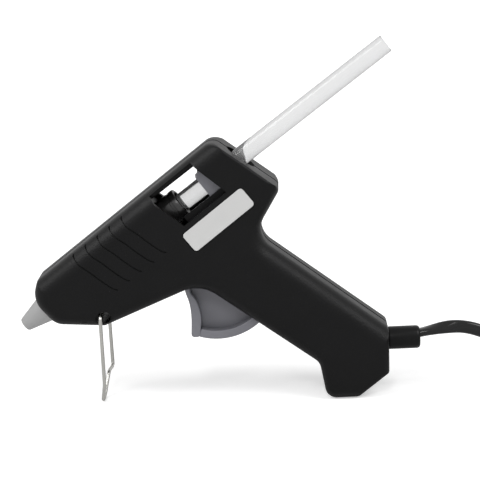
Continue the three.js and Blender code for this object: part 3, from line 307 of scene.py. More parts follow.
# Plug
# A generic flat two-pin plug, moulded on the cord's end in black vinyl, with a grip that narrows
# to the cord.
plug_length, plug_width = 34.0, 35.0
neck_half, neck_tall = 3.2, 3.0
plug_around, plug_power = 48, 0.55
plug_x = hank_left + plug_run + clearance
along = np.linspace(0, 1, 33)
plug_half = neck_half + (plug_width / 2 - neck_half) * smoothstep(0.18, 0.86, along) ** 0.8
plug_tall = neck_tall + (plug_height / 2 - neck_tall) * smoothstep(0.0, 0.6, along)
round_off = np.sqrt(1 - np.clip((along - 0.94) / 0.07, 0, 1) ** 2)
plug_half, plug_tall = plug_half * (0.9 + 0.1 * round_off), plug_tall * (0.75 + 0.25 * round_off)
grips = 1 - 0.05 * (np.sin(along * 60) > 0) * (along > 0.25) * (along < 0.6)
angle = np.linspace(0, 2 * np.pi, plug_around, endpoint=False)


def squared(value, power):
    """Cosine or sine drawn towards a square by a power under one."""
    return np.sign(value) * np.abs(value) ** power


plug_rings = np.stack(
    [
        np.repeat((plug_x + along * plug_length)[:, None], plug_around, axis=1),
        plug_half[:, None] * grips[:, None] * squared(np.cos(angle), plug_power),
        plug_z + plug_tall[:, None] * squared(np.sin(angle), plug_power),
    ],
    axis=-1,
)
plug = softened(skin(plug_rings, "moulded_plug"), 60)
plug_vinyl = plastic(
    "moulded vinyl", (0.006, 0.006, 0.006), 0.4, grain=0.3, grain_size=0.6, mottle=0.25, gloss=0.2
)
settled(plug, "housing", "cord", plug_vinyl, "plug_body")


def turned(profile, segments, place=None):
    """Rings of a body of revolution about the X axis from points of (along, radius), then moved
    by a matrix in millimetres."""
    profile = np.asarray(profile, float)
    angle = np.linspace(0, 2 * np.pi, segments, endpoint=False)
    rings = np.stack(
        [
            np.repeat(profile[:, :1], segments, axis=1),
            profile[:, 1:] * np.cos(angle),
            profile[:, 1:] * np.sin(angle),
        ],
        axis=-1,
    )
    return rings if place is None else moved(rings, place)


pin_metal = plastic("nickel-plated pin", (0.72, 0.71, 0.68), 0.22, grain=0.05, mottle=0.1, metallic=1.0)
pin_sleeve = plastic("pin sleeve", (0.012, 0.012, 0.012), 0.4, grain=0.1, mottle=0.1)
pin_aside, pin_sleeve_length = 9.3, 10
pin_start = plug_x + plug_length
pin_profile = [
    (0, 0.01),
    (0, 2.0),
    (pin_sleeve_length, 2.0),
    (10.1, 1.85),
    (17.5, 1.85),
    (18.6, 1.5),
    (19.2, 0.8),
    (19.3, 0.01),
]
for number, way in ((1, -1), (2, 1)):
    place = Matrix.Translation((pin_start, way * pin_aside, plug_z))
    pin = softened(skin(turned(pin_profile, 32, place), f"plug_prong_{number}"))
    settled(pin, "housing", "wire", pin_metal, f"plug_pin_{number}")
    pin.data.materials.append(pin_sleeve)
    middles = np.array([p.center.x for p in pin.data.polygons])
    sleeved = middles < (pin_start + pin_sleeve_length) * mm
    pin.data.polygons.foreach_set("material_index", sleeved.astype(np.int32))

# Cord tie
# A soft black strap round all the hank's runs, which keeps the cord put away.
tie_half, tie_top, tie_x = coil_outer + cord_thickness / 2 + 0.5, hank_top + 0.5, hank_left + 5.5
tie_low, tie_power, tie_points = 0.3, 0.3, 96
angle = np.linspace(0, 2 * np.pi, tie_points, endpoint=False)
tie_line = np.stack(
    [
        np.full(tie_points, tie_x),
        tie_half * squared(np.cos(angle), tie_power),
        (tie_low + tie_top) / 2 + (tie_top - tie_low) / 2 * squared(np.sin(angle), tie_power),
    ],
    axis=1,
)
strap = np.array([[-0.3, -2], [0.3, -2], [0.3, 2], [-0.3, 2]])
thick, wide = strap[None, :, :1], strap[None, :, 1:]
outward_way = tie_line - tie_line.mean(axis=0)
outward_way /= np.linalg.norm(outward_way, axis=1, keepdims=True)
tie_rings = tie_line[:, None] + thick * outward_way[:, None] + wide * np.array([1, 0, 0])
tie = softened(skin(tie_rings, "coil_strap", closed_path=True), 50)
settled(tie, "housing", "cord", plug_vinyl, "cord_tie")

# Housing halves
# Two shells moulded in black nylon with a fine spark texture, 2 mm thick, which meet on the
# mirror plane and are screwed together from the right.
wall, seam, overrun = 2.0, 0.15, 5.0
channel_in, channel_floor, channel_depth = 0.8, 0.4, 0.65
least_rounding = 0.0021 * body_height
# Corners of the side view: along, up, the arc's reach and the rounding of the next edge, as shares
outline_shares = np.array(
    [
        [0.0171, 0.5035, 0.072, 0.0594],
        [0, 0.431, 0.65, 0.0491],
        [0.0617, 0.3337, 0.24, 0.0491],
        [0.2015, 0.3205, 0.0178, 0.0491],
        [0.4751, 0.466, 0.181, 0.0491],
        [0.8022, 0.139, 0.141, 0.031],
        [0.8193, 0, 0.35, 0.045],
        [0.9019, 0, 0.046, 0.02],
        [0.997, 0.0963, 0.0242, 0.031],
        [1, 0.262, 0.0784, 0.0697],
        [0.634, 0.642, 0.366, 0.0645],
        [0.71428, 0.81599, 0.121, 0.0103],
        [0.529049, 1.005774, 0.1126, 0.0697],
    ]
)
corner = outline_shares[:, :2] * [body_length, body_height]
edge = np.roll(corner, -1, axis=0) - corner
edge_length = np.linalg.norm(edge, axis=1)
edge_way = edge / edge_length[:, None]
edge_turn = np.arccos((np.roll(edge_way, 1, axis=0) * edge_way).sum(axis=1))
corner_radius = (
    outline_shares[:, 2] * np.minimum(edge_length, np.roll(edge_length, 1)) / np.tan(edge_turn / 2)
)
edge_rounding = outline_shares[:, 3] * body_height


def outline(drawn_in, steps=10):
    """The side view with each edge moved inwards by its own amount: neighbouring edges are
    crossed, and each crossing is rounded by an arc that touches both."""
    inward = np.stack([-edge_way[:, 1], edge_way[:, 0]], axis=1)
    start = corner + inward * drawn_in[:, None]
    before_way, before_start = np.roll(edge_way, 1, axis=0), np.roll(start, 1, axis=0)
    cross = before_way[:, 0] * edge_way[:, 1] - before_way[:, 1] * edge_way[:, 0]
    gap = start - before_start
    reach = (gap[:, 0] * edge_way[:, 1] - gap[:, 1] * edge_way[:, 0]) / cross
    vertex = before_start + before_way * reach[:, None]
    deepest = np.maximum(drawn_in, np.roll(drawn_in, 1))
    side = np.sign(cross)
    radius = np.maximum(corner_radius - side * deepest, least_rounding)
    tangent = vertex - before_way * (radius * np.tan(edge_turn / 2))[:, None]
    centre = tangent + np.stack([-before_way[:, 1], before_way[:, 0]], axis=1) * (side * radius)[:, None]
    angle = (side * edge_turn)[:, None] * np.linspace(0, 1, steps + 1)[None, :]
    arm = tangent - centre
    x = arm[:, :1] * np.cos(angle) - arm[:, 1:] * np.sin(angle) + centre[:, :1]
    z = arm[:, :1] * np.sin(angle) + arm[:, 1:] * np.cos(angle) + centre[:, 1:]
    return np.stack([x, z], axis=-1).reshape(-1, 2)


def half_rings(shrink, first, bends=16, groove=0.0):
    """Rings of one rounded half from the seam to the flat side: at depth y each edge is drawn in
    by R - sqrt(R^2 - (y - (W - R))^2), with its own rounding R and the half width W. A groove
    draws in the first two rings alone, so that two halves meet in a channel."""
    reach = half_width - shrink
    curl = np.maximum(edge_rounding - shrink, least_rounding)
    deepest = curl.max()
    curve = reach - deepest + deepest * np.sin(np.linspace(0, np.pi / 2, bends))
    depths = [first, first + channel_floor, first + channel_depth, *curve]
    rings = []
    for number, depth in enumerate(depths):
        into = np.maximum(depth - (reach - curl), 0)
        sunk = groove if number < 2 else 0
        flat = outline(shrink + sunk + curl - np.sqrt(np.maximum(curl**2 - into**2, 0)))
        rings.append(np.stack([flat[:, 0] + shift, np.full(len(flat), depth), flat[:, 1]], axis=1))
    return np.array(rings)


def prism(flat, low, high):
    """Two rings: a side-view outline at one depth and at another."""
    flat = np.asarray(flat, float)
    ends = [np.stack([flat[:, 0], np.full(len(flat), y), flat[:, 1]], axis=1) for y in (low, high)]
    return np.array(ends)


def disc(x, z, radius, count=48):
    """Points on a circle."""
    angle = np.linspace(0, 2 * np.pi, count, endpoint=False)
    return np.stack([x + radius * np.cos(angle), z + radius * np.sin(angle)], axis=1)


def carved(piece, tool, operation="DIFFERENCE", crossing=False):
    """The piece with the tool's solid taken away, or kept alone, as its own finished mesh. A
    crossing piece is one whose parts run through each other."""
    step = piece.modifiers.new("carve", "BOOLEAN")
    step.operation, step.solver, step.object = operation, "EXACT", tool
    step.use_self = crossing
    bpy.context.view_layer.update()
    ready = piece.evaluated_get(bpy.context.evaluated_depsgraph_get())
    mesh = bpy.data.meshes.new_from_object(ready)
    piece.modifiers.clear()
    piece.data = mesh
    bpy.data.objects.remove(tool)
    return piece


def gathered(pieces, name):
    """One mesh that holds several closed pieces."""
    places, faces, start = [], [], 0
    for mesh in [p.data for p in pieces]:
        co = np.empty(len(mesh.vertices) * 3)
        mesh.vertices.foreach_get("co", co)
        places.append(co.reshape(-1, 3))
        faces += [[v + start for v in p.vertices] for p in mesh.polygons]
        start += len(mesh.vertices)
    mesh = bpy.data.meshes.new(name)
    mesh.from_pydata(np.vstack(places).tolist(), [], faces)
    for p in pieces:
        bpy.data.objects.remove(p)
    piece = bpy.data.objects.new(name, mesh)
    bpy.context.scene.collection.objects.link(piece)
    return piece


# The feed line runs from a point on the nose face to a point on the rear face
nose = corner[1] + 0.53 * (corner[2] - corner[1]) + [shift, 0]
rear = corner[11] + 0.584 * (corner[12] - corner[11]) + [shift, 0]
feed_length = np.linalg.norm(rear - nose)
feed_tilt = np.arctan2(*(rear - nose)[::-1])
feed_place = Matrix.Translation((nose[0], 0, nose[1])) @ Matrix.Rotation(-feed_tilt, 4, "Y")


def on_feed(points):
    """Side-view points given along and above the feed line, as points of the whole part."""
    return nose + spun(np.asarray(points, float), feed_tilt)


def feed_disc(low, high, radius, count=64):
    """A round bar along the feed line, between two places."""
    return turned([(low, radius), (high, radius)], count, feed_place)


window = on_feed(
    np.array(
        [
            [0.6335, 0.1113],
            [0.8423, 0.1155],
            [0.8455, 0.097],
            [0.8847, -0.0599],
            [0.6696, -0.0641],
            [0.6304, 0.0736],
        ]
    )
    * feed_length
)
window_inner = 8.6
bow_radius = 24.3
pivot = np.array([0.551 * body_length + shift, 0.5065 * body_height])
stand_pivot = np.array([0.1933 * body_length + shift, 0.3664 * body_height])
screw_places = (
    np.array([[0.1468, 0.3709], [0.3688, 0.4796], [0.6513, 0.8044], [0.777, 0.288], [0.91, 0.086]])
    * [body_length, body_height]
    + [shift, 0]
)
groove_line = (
    np.array(
        [
            [0.2464, 0.116],
            [0.2426, 0.1097],
            [0.2426, 0.0886],
            [0.2447, 0.0663],
            [0.2595, 0.0212],
            [0.2712, -0.027],
            [0.2881, -0.0817],
            [0.3013, -0.1029],
        ]
    )
    * feed_length
)
groove_line = through(np.column_stack([groove_line, np.zeros(len(groove_line))]), 3)[:, :2]
relief_z = 0.2 * body_height
label_turn = np.radians(1.3)
label_centre = np.array([0.7915, -0.1266]) * feed_length
label_half_length, label_half_height, label_corner = 14.3, 4.1, 1.3


def round_box(half_x, half_z, radius, steps=8):
    """An upright rectangle with round corners, about its own middle."""
    corners = [(half_x - radius, half_z - radius, 0), (radius - half_x, half_z - radius, 1)]
    corners += [(radius - half_x, radius - half_z, 2), (half_x - radius, radius - half_z, 3)]
    arcs = []
    for x, z, quarter in corners:
        angle = np.linspace(0, np.pi / 2, steps) + quarter * np.pi / 2
        arcs.append(np.stack([x + radius * np.cos(angle), z + radius * np.sin(angle)], axis=1))
    return np.vstack(arcs)


def label_outline(margin):
    """The label's outline, turned on the feed line and moved to its place."""
    flat = round_box(label_half_length + margin, label_half_height + margin, label_corner + margin)
    return on_feed(spun(flat, label_turn) + label_centre)


sleeve_end = 0.7014 * feed_length
guide = 0.932 * feed_length
# Ribs across the feed line: place, lowest and highest point, and the radius of the hole
rib_thickness = 2
rib_table = [
    (5.0, -13.0, 13.0, 5.8),
    (11.2, -13.0, 13.0, 5.8),
    (43.8, -4.9, 13.0, 5.8),
    (55.9, -10.5, 13.0, 6.5),
    (guide, -13.0, 13.0, 3.9),
]
# Rails over and under the gripper: lowest and highest point, and where each starts
rail_half = 3.5
rail_table = [(8.4, 13.0, 57.9), (-7.5, -5.5, sleeve_end + clearance)]
# Fence beside the fork and its shelf: lowest and highest point, and from which depth to which
fence_start = sleeve_end - 1.6
fence_table = [(-7.5, -3.8, 7.6, window_inner), (-7.5, -6.3, 8.5, half_width)]
slot_centre, slot_radius, slot_front, slot_half = [-0.1626, -0.1235], 25.3, 16.8, 6.3
nose_hole, stick_hole, cord_hole, stand_hole = 5.8, 6.2, 3.6, 1.05
hollow_radius, hollow_depth, opening_radius = 3.2, 1.2, 2.3
groove_count, groove_pitch, groove_half, groove_depth = 5, 5.85, 0.28, 0.5
boss_radius, recess_radius, recess_floor = 2.9, 2.8, 8.0
cup_radius, cup_low, cup_high = 3.4, 8.4, 12.5


def shell(left):
    """One half of the housing on the +Y side: outer skin less cavity, with its ribs, cut by the
    window, the trigger's slot, the stand's slot, the holes and the grooves."""
    body = skin(half_rings(0, seam, groove=channel_in), "half")
    carved(body, skin(half_rings(wall, -overrun), "cavity"))
    plates = []
    for place, low, high, hole in rib_table:
        after = place + rib_thickness
        flat = on_feed([[place, low], [after, low], [after, high], [place, high]])
        rib = skin(prism(flat, seam, half_width), "rib")
        plates.append(carved(rib, skin(feed_disc(place - 5, place + 7, hole), "hole")))
    for low, high, start in rail_table:
        flat = on_feed([[start, low], [guide, low], [guide, high], [start, high]])
        plates.append(skin(prism(flat, seam, rail_half), "rail"))
    for low, high, near, far in fence_table:
        flat = on_feed([[fence_start, low], [guide, low], [guide, high], [fence_start, high]])
        plates.append(skin(prism(flat, near, far), "fence"))
    inner = gathered(plates, "ribs")
    carved(inner, skin(half_rings(wall / 2, 0.0), "inside"), "INTERSECT", crossing=True)
    for x, z in screw_places[:4]:
        outer = skin(prism(disc(x, z, boss_radius), seam, half_width - wall / 2), "boss")
        inner = gathered([inner, outer], "ribs")
    slot = disc(*(pivot + np.array(slot_centre) * bow_radius), slot_radius, 96)
    slot[:, 0] = np.maximum(slot[:, 0], pivot[0] - slot_front)
    slot[:, 1] = np.minimum(slot[:, 1], pivot[1])
    for piece in (body, inner):
        crossing = piece is inner
        carved(piece, skin(prism(slot, -overrun, slot_half), "slot"), crossing=crossing)
        carved(piece, skin(prism(window, window_inner, body_width), "opening"))
        carved(piece, skin(feed_disc(-6, 5, nose_hole), "nose hole"))
        carved(piece, skin(feed_disc(guide + 2, feed_length + 6, stick_hole), "stick hole"))
    x, z = stand_pivot
    carved(body, skin(prism(disc(x, z, stand_hole), 0, body_width), "stand hole"))
    sides = [[x - stand_hole, 0], [x + stand_hole, 0], [x + stand_hole, z], [x - stand_hole, z]]
    carved(body, skin(prism(sides, half_width - wall - clearance, body_width), "stand slot"))
    hollow = prism(disc(x + 1.2, z - 1.4, hollow_radius), half_width - hollow_depth, body_width)
    carved(body, skin(hollow, "stand hollow"))
    carved(body, skin(prism(disc(x + 1.5, z - 0.9, opening_radius), 0, body_width), "stand opening"))
    hole = turned([(body_length - 8 + shift, cord_hole), (body_length + 5 + shift, cord_hole)], 48)
    carved(body, skin(hole + [0, 0, relief_z], "cord hole"))
    strips = []
    for number in range(groove_count):
        line = groove_line + [number * groove_pitch, 0]
        flat = np.vstack([line - [groove_half, 0], (line + [groove_half, 0])[::-1]])
        strips.append(skin(prism(on_feed(flat), half_width / 2, body_width), "strip"))
    grooves = gathered(strips, "grooves")
    carved(grooves, skin(half_rings(groove_depth, -overrun), "core"))
    carved(body, grooves)
    if left:
        carved(body, skin(prism(label_outline(clearance), 12.4, body_width), "label recess"))
    else:
        for x, z in screw_places:
            bore = disc(x, z, recess_radius)
            carved(body, skin(prism(bore, recess_floor, body_width), "head recess"))
            cup = skin(prism(disc(x, z, cup_radius), cup_low, cup_high), "recess wall")
            carved(cup, skin(prism(bore, 0, body_width), "recess bore"))
            inner = gathered([inner, cup], "ribs")
    return gathered([body, inner], "half shell")


nylon = plastic(
    "black nylon", (0.0032, 0.0032, 0.0034), 0.42, grain=1.0, grain_size=0.7, mottle=0.35, gloss=0.14
)
right_half = softened(shell(False), 40)
right_half.name = "right_half"
settled(right_half, "housing", "housing", nylon, "right_shell")
left_half = shell(True)
left_half.name = "left_half"
left_half.data.transform(Matrix.Diagonal((1, -1, 1, 1)))
left_half.data.flip_normals()
softened(left_half, 40)
settled(left_half, "housing", "housing", nylon, "left_shell")

# Label
# A thin light plate stuck in a shallow recess on the left half, bare, with a faint satin sheen.
label_stock = plastic("label stock", (0.54, 0.54, 0.535), 0.38, grain=0.08, grain_size=0.8, mottle=0.03)
label = skin(prism(label_outline(0), 12.7, 13.2) * [1, -1, 1], "bare_label")
edge_round = label.modifiers.new("edge", "BEVEL")
edge_round.width, edge_round.segments = 0.12 * mm, 2
softened(label, 50)
settled(label, "housing", "label", label_stock, "label_plate")

# Housing screws
# Five self-tapping screws with cross recesses in the right half, bright zinc on steel.
zinc = plastic(
    "zinc-plated steel", (0.62, 0.62, 0.6), 0.3, grain=0.1, grain_size=0.6, mottle=0.15, metallic=1.0
)
screw_profile = [
    (-10, 0.01),
    (-10, 0.4),
    (-8.6, 1.3),
    (8.5, 1.3),
    (8.7, 2.5),
    (9.4, 2.5),
    (9.85, 2.1),
    (10, 1.2),
    (10, 0.01),
]
cross = [[-1.5, -0.3], [-0.3, -0.3], [-0.3, -1.5], [0.3, -1.5], [0.3, -0.3], [1.5, -0.3]]
cross += [[1.5, 0.3], [0.3, 0.3], [0.3, 1.5], [-0.3, 1.5], [-0.3, 0.3], [-1.5, 0.3]]
cross_floor = 9.0
for number, (x, z) in enumerate(screw_places, 1):
    place = Matrix.Translation((x, 0, z)) @ Matrix.Rotation(np.pi / 2, 4, "Z")
    screw = skin(turned(screw_profile, 40, place), f"screw_{number}")
    carved(screw, skin(prism(np.array(cross) + [x, z], cross_floor, 12), "cross"))
    settled(softened(screw, 30), "housing", "screw", zinc, f"shell_screw_{number}")

# Nozzle
# A cast and turned aluminium cone, bead-blasted to a flat light grey, with a small bore, and the
# light silicone ring at its base.
cast = plastic(
    "blasted aluminium", (0.36, 0.36, 0.36), 0.62, grain=0.35, grain_size=0.5, mottle=0.08, metallic=0.35
)
profile = [
    (-9.0, 0.01),
    (-9.0, 0.75),
    (-11.45, 0.8),
    (-11.5, 1.0),
    (-11.5, 2.2),
    (-11.35, 2.55),
    (-11.0, 2.8),
    (-0.95, 5.33),
    (-0.8, 5.2),
    (-0.8, 4.2),
    (9.7, 4.2),
    (9.7, 0.01),
]
nozzle = softened(skin(turned(profile, 72, feed_place), "cone_nozzle"), 30)
settled(nozzle, "housing", "nozzle", cast, "nozzle")
collar_rubber = plastic("light silicone", (0.62, 0.62, 0.6), 0.5, grain=0.1, mottle=0.06)
profile = [(-0.75, 4.5), (-0.75, 5.6), (-0.5, 5.78), (0.4, 5.78), (0.6, 5.5), (8, 5.5), (8, 4.5)]
collar = softened(skin(turned(profile, 64, feed_place), "nozzle_ring", closed_path=True), 30)
settled(collar, "housing", "collar", collar_rubber, "nozzle_collar")

# Check ball and heater
# Inside: a steel ball on a fine spring, the cast barrel, and a ceramic stone between two brass
# plates in a wrap of amber film, pressed by a steel clip. Most keep the solids' shapes and get a
# finish alone.
ball_steel = plastic("bearing steel", (0.6, 0.6, 0.6), 0.15, grain=0.02, mottle=0.05, metallic=1.0)
amber = plastic("amber film", (0.5, 0.27, 0.05), 0.3, grain=0.1, grain_size=2, mottle=0.15)
brass = plastic("stamped brass", (0.6, 0.43, 0.15), 0.3, grain=0.1, mottle=0.15, metallic=1.0)
stone = plastic("fired ceramic", (0.06, 0.052, 0.05), 0.7, grain=0.4, grain_size=0.3, mottle=0.2)
lead_cover = plastic("glass-fibre sleeving", (0.7, 0.67, 0.6), 0.6, grain=0.5, grain_size=0.5, mottle=0.12)
for node, material in (
    ("check_ball", ball_steel),
    ("melting_barrel", cast),
    ("insulating_film", amber),
    ("electrode_plate_upper", brass),
    ("electrode_plate_lower", brass),
    ("ptc_heater", stone),
    ("heater_clip", zinc),
    ("terminal_upper", brass),
    ("terminal_lower", brass),
    ("lead_wire_upper", lead_cover),
    ("lead_wire_lower", lead_cover),
    ("sleeve_clamp", zinc),
    ("trigger_pin", zinc),
    ("cord_clamp", nylon),
    ("clamp_screw_1", zinc),
    ("clamp_screw_2", zinc),
):
    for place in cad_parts[node].material_slots:
        place.material = material


def coil_spring(start, end, radius, wire, curls, axis_place, name):
    """A wire carried round a helix about the X axis, its end curls drawn close together."""
    turn = np.linspace(0, curls, int(curls * 24) + 1)
    share = turn / curls
    pitch = share - 0.06 * np.sin(2 * np.pi * share)
    angle = 2 * np.pi * turn
    line = np.stack([start + (end - start) * pitch, radius * np.cos(angle), radius * np.sin(angle)], axis=1)
    rings = swept(line, stadium(wire * 2, wire * 2, 10), [1, 0, 0])
    return softened(skin(moved(rings, axis_place), name), 60)


spring_wire = plastic("spring steel", (0.5, 0.5, 0.49), 0.25, grain=0.05, mottle=0.1, metallic=1.0)
ball_spring = coil_spring(-7.3, 0.7, 1.55, 0.2, 5, feed_place, "ball_spring_wire")
settled(ball_spring, "housing", "screw", spring_wire, "ball_spring")

# Inlet sleeve
# A black silicone cup on the barrel's rear end, with a rounded lip that the stick slides into.
profile = [
    (46.3, 5.2),
    (46.3, 6.2),
    (sleeve_end - 3.4, 6.2),
    (sleeve_end - 3.2, 6.0),
    (sleeve_end - 2.4, 6.0),
    (sleeve_end - 2.2, 6.2),
    (sleeve_end - 0.6, 6.2),
    (sleeve_end - 0.18, 6.02),
    (sleeve_end, 5.6),
    (sleeve_end - 0.1, 5.1),
    (sleeve_end - 2, 3.95),
    (52.3, 3.95),
    (52.3, 5.2),
]
sleeve = softened(skin(turned(profile, 72, feed_place), "inlet_cup", closed_path=True), 30)
silicone = plastic(
    "heat-proof silicone", (0.012, 0.012, 0.012), 0.26, grain=0.1, grain_size=0.8, mottle=0.15, gloss=0.6
)
settled(sleeve, "housing", "sleeve", silicone, "inlet_sleeve")

# Gripper
# A grey plastic ring round the stick, whose two trunnions sit in the trigger's fork.
grey_plastic = plastic("grey plastic", (0.165, 0.165, 0.185), 0.42, grain=0.15, grain_size=0.6, mottle=0.06)
grip_place = 0.8636 * feed_length
profile = [(-3, 3.95), (-3, 4.9), (-2.8, 5.1), (2.8, 5.1), (3, 4.9), (3, 3.95)]
ring_place = feed_place @ Matrix.Translation((grip_place, 0, 0))
ring = skin(turned(profile, 56, ring_place), "ring", closed_path=True)
x, z = on_feed([[grip_place, 0]])[0]
peg_radius, peg_start, peg_end = 1.3, 4.4, 6.1
pegs = [skin(prism(disc(x, z, peg_radius, 32), peg_start * way, peg_end * way), "peg") for way in (1, -1)]
gripper = softened(gathered([ring, *pegs], "grip_ring"), 30)
settled(gripper, "gripper", "trigger", grey_plastic, "gripper")

# Glue stick
# A cast rod of clear hot-melt glue, 7.2 mm across, milky where it is thick, with painted shade at its rims
# that stands in for the dark refraction a clear rod shows there.
stick_place = feed_place @ Matrix.Translation((sleeve_end - 3.2, 0, 0))
profile = [(0, 0.01), (0, 3.35), (0.2, 3.6), (99.7, 3.6), (100, 3.3), (100, 0.01)]
stick = softened(skin(turned(profile, 64, stick_place), "glue_rod"), 35)
glue = plastic("hot-melt glue", (0.845, 0.847, 0.85), 0.1, grain=0.1, grain_size=3, mottle=0.02, gloss=0.4)
nodes, links = glue.node_tree.nodes, glue.node_tree.links
shader = nodes["Principled BSDF"]
shader.inputs["Transmission Weight"].default_value = 0.85
shader.inputs["IOR"].default_value = 1.48
shader.inputs["Specular Tint"].default_value = (0.5, 0.5, 0.5, 1)
# Painted shade: the base colour is darkened towards the rod's rims by a power of the facing weight, in place
# of the dark refraction at a clear rod's edges.
rim_shade_facing = nodes.new("ShaderNodeLayerWeight")
rim_shade_facing.inputs["Blend"].default_value = 0.5
rim_shade_falloff = nodes.new("ShaderNodeMath")
rim_shade_falloff.operation = "POWER"
rim_shade_falloff.inputs[1].default_value = 1.8
links.new(rim_shade_facing.outputs["Facing"], rim_shade_falloff.inputs[0])
painted_rim_shade = nodes.new("ShaderNodeMix")
painted_rim_shade.data_type = "RGBA"
painted_rim_shade.inputs[7].default_value = (0.05, 0.05, 0.053, 1)
links.new(rim_shade_falloff.outputs[0], painted_rim_shade.inputs["Factor"])
links.new(shader.inputs["Base Color"].links[0].from_socket, painted_rim_shade.inputs[6])
links.new(painted_rim_shade.outputs[2], shader.inputs["Base Color"])
settled(stick, "glue_stick", "glue", glue, "glue_stick")

# Trigger
# Moulded grey plastic: a finger flange, a bow under a thin web, a hub on the steel pin, and two
# fork arms that reach up past the stick.
bow_thickness, bow_half = 3.3, 6.0
hub_radius, hub_half = 4.5, 6.85
arm_inner, arm_outer, arm_slot_half = 5.4, 7.0, 1.75
web_half, spring_arm_half, edge_radius = 1.4, 2.6, 0.45
bow_centre = pivot + np.array([-0.177, -0.103]) * bow_radius
flange_front = np.array(
    [[-0.683, -0.123], [-0.663, -0.317], [-0.609, -0.514], [-0.591, -0.728], [-0.605, -1.004]]
)
flange_rear = np.array(
    [
        [-0.465, -1.03],
        [-0.436, -0.765],
        [-0.457, -0.601],
        [-0.498, -0.469],
        [-0.584, -0.321],
        [-0.59, -0.123],
    ]
)


def flowing(points, steps=6):
    """A smooth side-view line through points."""
    return through(np.column_stack([points, np.zeros(len(points))]), steps)[:, :2]


toe = np.array([[-0.6, -1.04], [-0.57, -1.06], [-0.51, -1.062], [-0.475, -1.05]])
flange = np.vstack([flowing(flange_front), toe, flowing(flange_rear)]) * bow_radius + pivot
angles = np.radians(np.linspace(-108, -24, 43))
arc = np.stack([np.cos(angles), np.sin(angles)], axis=1)
bow_outer = bow_centre + bow_radius * arc
bow_inner = bow_centre + (bow_radius - bow_thickness) * arc
web_edge = bow_centre + (bow_radius - bow_thickness / 2) * arc
web_front = flowing(flange_front)[:-1] * bow_radius + pivot + [0.9, 0]
web = np.vstack([web_front, web_edge, pivot + [[11, -1.5], [0, 0]]])
feed_way = [np.cos(feed_tilt), np.sin(feed_tilt)]
feed_up = [-np.sin(feed_tilt), np.cos(feed_tilt)]
hub_along, hub_up = np.array([feed_way, feed_up]) @ (pivot - nose)
front, back_edge, top = grip_place - 4.6, grip_place + 4.3, 4.9
arm = on_feed(
    [
        [hub_along - 4.5, hub_up],
        [front, -5.1],
        [front, top],
        [front + 0.65, top + 1.04],
        [front + 2.6, top + 1.3],
        [back_edge, top - 0.65],
        [back_edge, -5.1],
        [hub_along + 4.5, hub_up],
    ]
)
toward = np.array([grip_place - hub_along, -hub_up])
far = np.linalg.norm(toward) + 1.6
toward = toward / np.linalg.norm(toward)
aside = np.array([-toward[1], toward[0]]) * arm_slot_half
slot_ends = np.array([hub_along, hub_up]) + np.outer([-hub_up - 1.6, far, far, -hub_up - 1.6], toward)
arm_slot = on_feed(slot_ends + np.outer([-1, -1, 1, 1], aside))
grip_parts = [
    skin(prism(flange, -bow_half, bow_half), "flange"),
    skin(prism(np.vstack([bow_outer, bow_inner[::-1]]), -bow_half, bow_half), "bow"),
    skin(prism(disc(*pivot, hub_radius), -hub_half, hub_half), "hub"),
]
for way in (1, -1):
    fork_arm = skin(prism(arm, arm_inner * way, arm_outer * way), "arm")
    carved(fork_arm, skin(prism(arm_slot, 4 * way, 6.4 * way), "arm groove"))
    grip_parts.append(fork_arm)
for part in grip_parts:
    edge_round = part.modifiers.new("edge", "BEVEL")
    edge_round.width, edge_round.segments = edge_radius * mm, 3
    edge_round.limit_method, edge_round.angle_limit = "ANGLE", np.radians(50)
    bpy.context.view_layer.update()
    ready = part.evaluated_get(bpy.context.evaluated_depsgraph_get())
    rounded_mesh = bpy.data.meshes.new_from_object(ready)
    part.modifiers.clear()
    part.data = rounded_mesh
spring_arm = pivot + np.array([[0, -1.7], [11, -1.7], [11, 1.3], [0, 1.3]])
grip_parts.append(skin(prism(web, -web_half, web_half), "web"))
grip_parts.append(skin(prism(spring_arm, -spring_arm_half, spring_arm_half), "spring arm"))
trigger = softened(gathered(grip_parts, "grey_trigger"), 32)
settled(trigger, "trigger", "trigger", grey_plastic, "trigger")

# Return spring
# A small compression spring of steel wire between the housing and the trigger's rear arm.
spring_x = pivot[0] + 8
upright = Matrix.Translation((spring_x, 0, 0)) @ Matrix.Rotation(-np.pi / 2, 4, "Y")
low, high = pivot[1] + 1.9, pivot[1] + 10.7
return_spring = coil_spring(low, high, 2.1, 0.3, 7, upright, "return_spring_wire")
settled(return_spring, "housing", "screw", spring_wire, "return_spring")
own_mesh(return_spring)

# Wire stand
# A nickel-plated steel wire, 1.4 mm, bent into a narrow foot, whose two ends turn in the nose.
x, z = stand_pivot
half_stand = np.array(
    [
        [x, 9.6, z],
        [x, 14.2, z],
        [x, 15.2, 9.2],
        [x - 0.83, 8.0, 9.2],
        [x - 2.5, 3.0, 0.7],
    ]
)
stand_points = np.vstack([half_stand, (half_stand * [1, -1, 1])[::-1]])


def bent(points, radius, steps):
    """A line whose corners are replaced by short parabolas that touch both legs."""
    before, at, after = points[:-2], points[1:-1], points[2:]
    reach_in = np.minimum(radius, 0.45 * np.linalg.norm(at - before, axis=1))[:, None]
    reach_out = np.minimum(radius, 0.45 * np.linalg.norm(after - at, axis=1))[:, None]
    start = at + (before - at) / np.linalg.norm(before - at, axis=1)[:, None] * reach_in
    end = at + (after - at) / np.linalg.norm(after - at, axis=1)[:, None] * reach_out
    t = np.linspace(0, 1, steps)[None, :, None]
    arcs = (1 - t) ** 2 * start[:, None] + 2 * t * (1 - t) * at[:, None] + t**2 * end[:, None]
    return np.vstack([points[:1], arcs.reshape(-1, 3), points[-1:]])


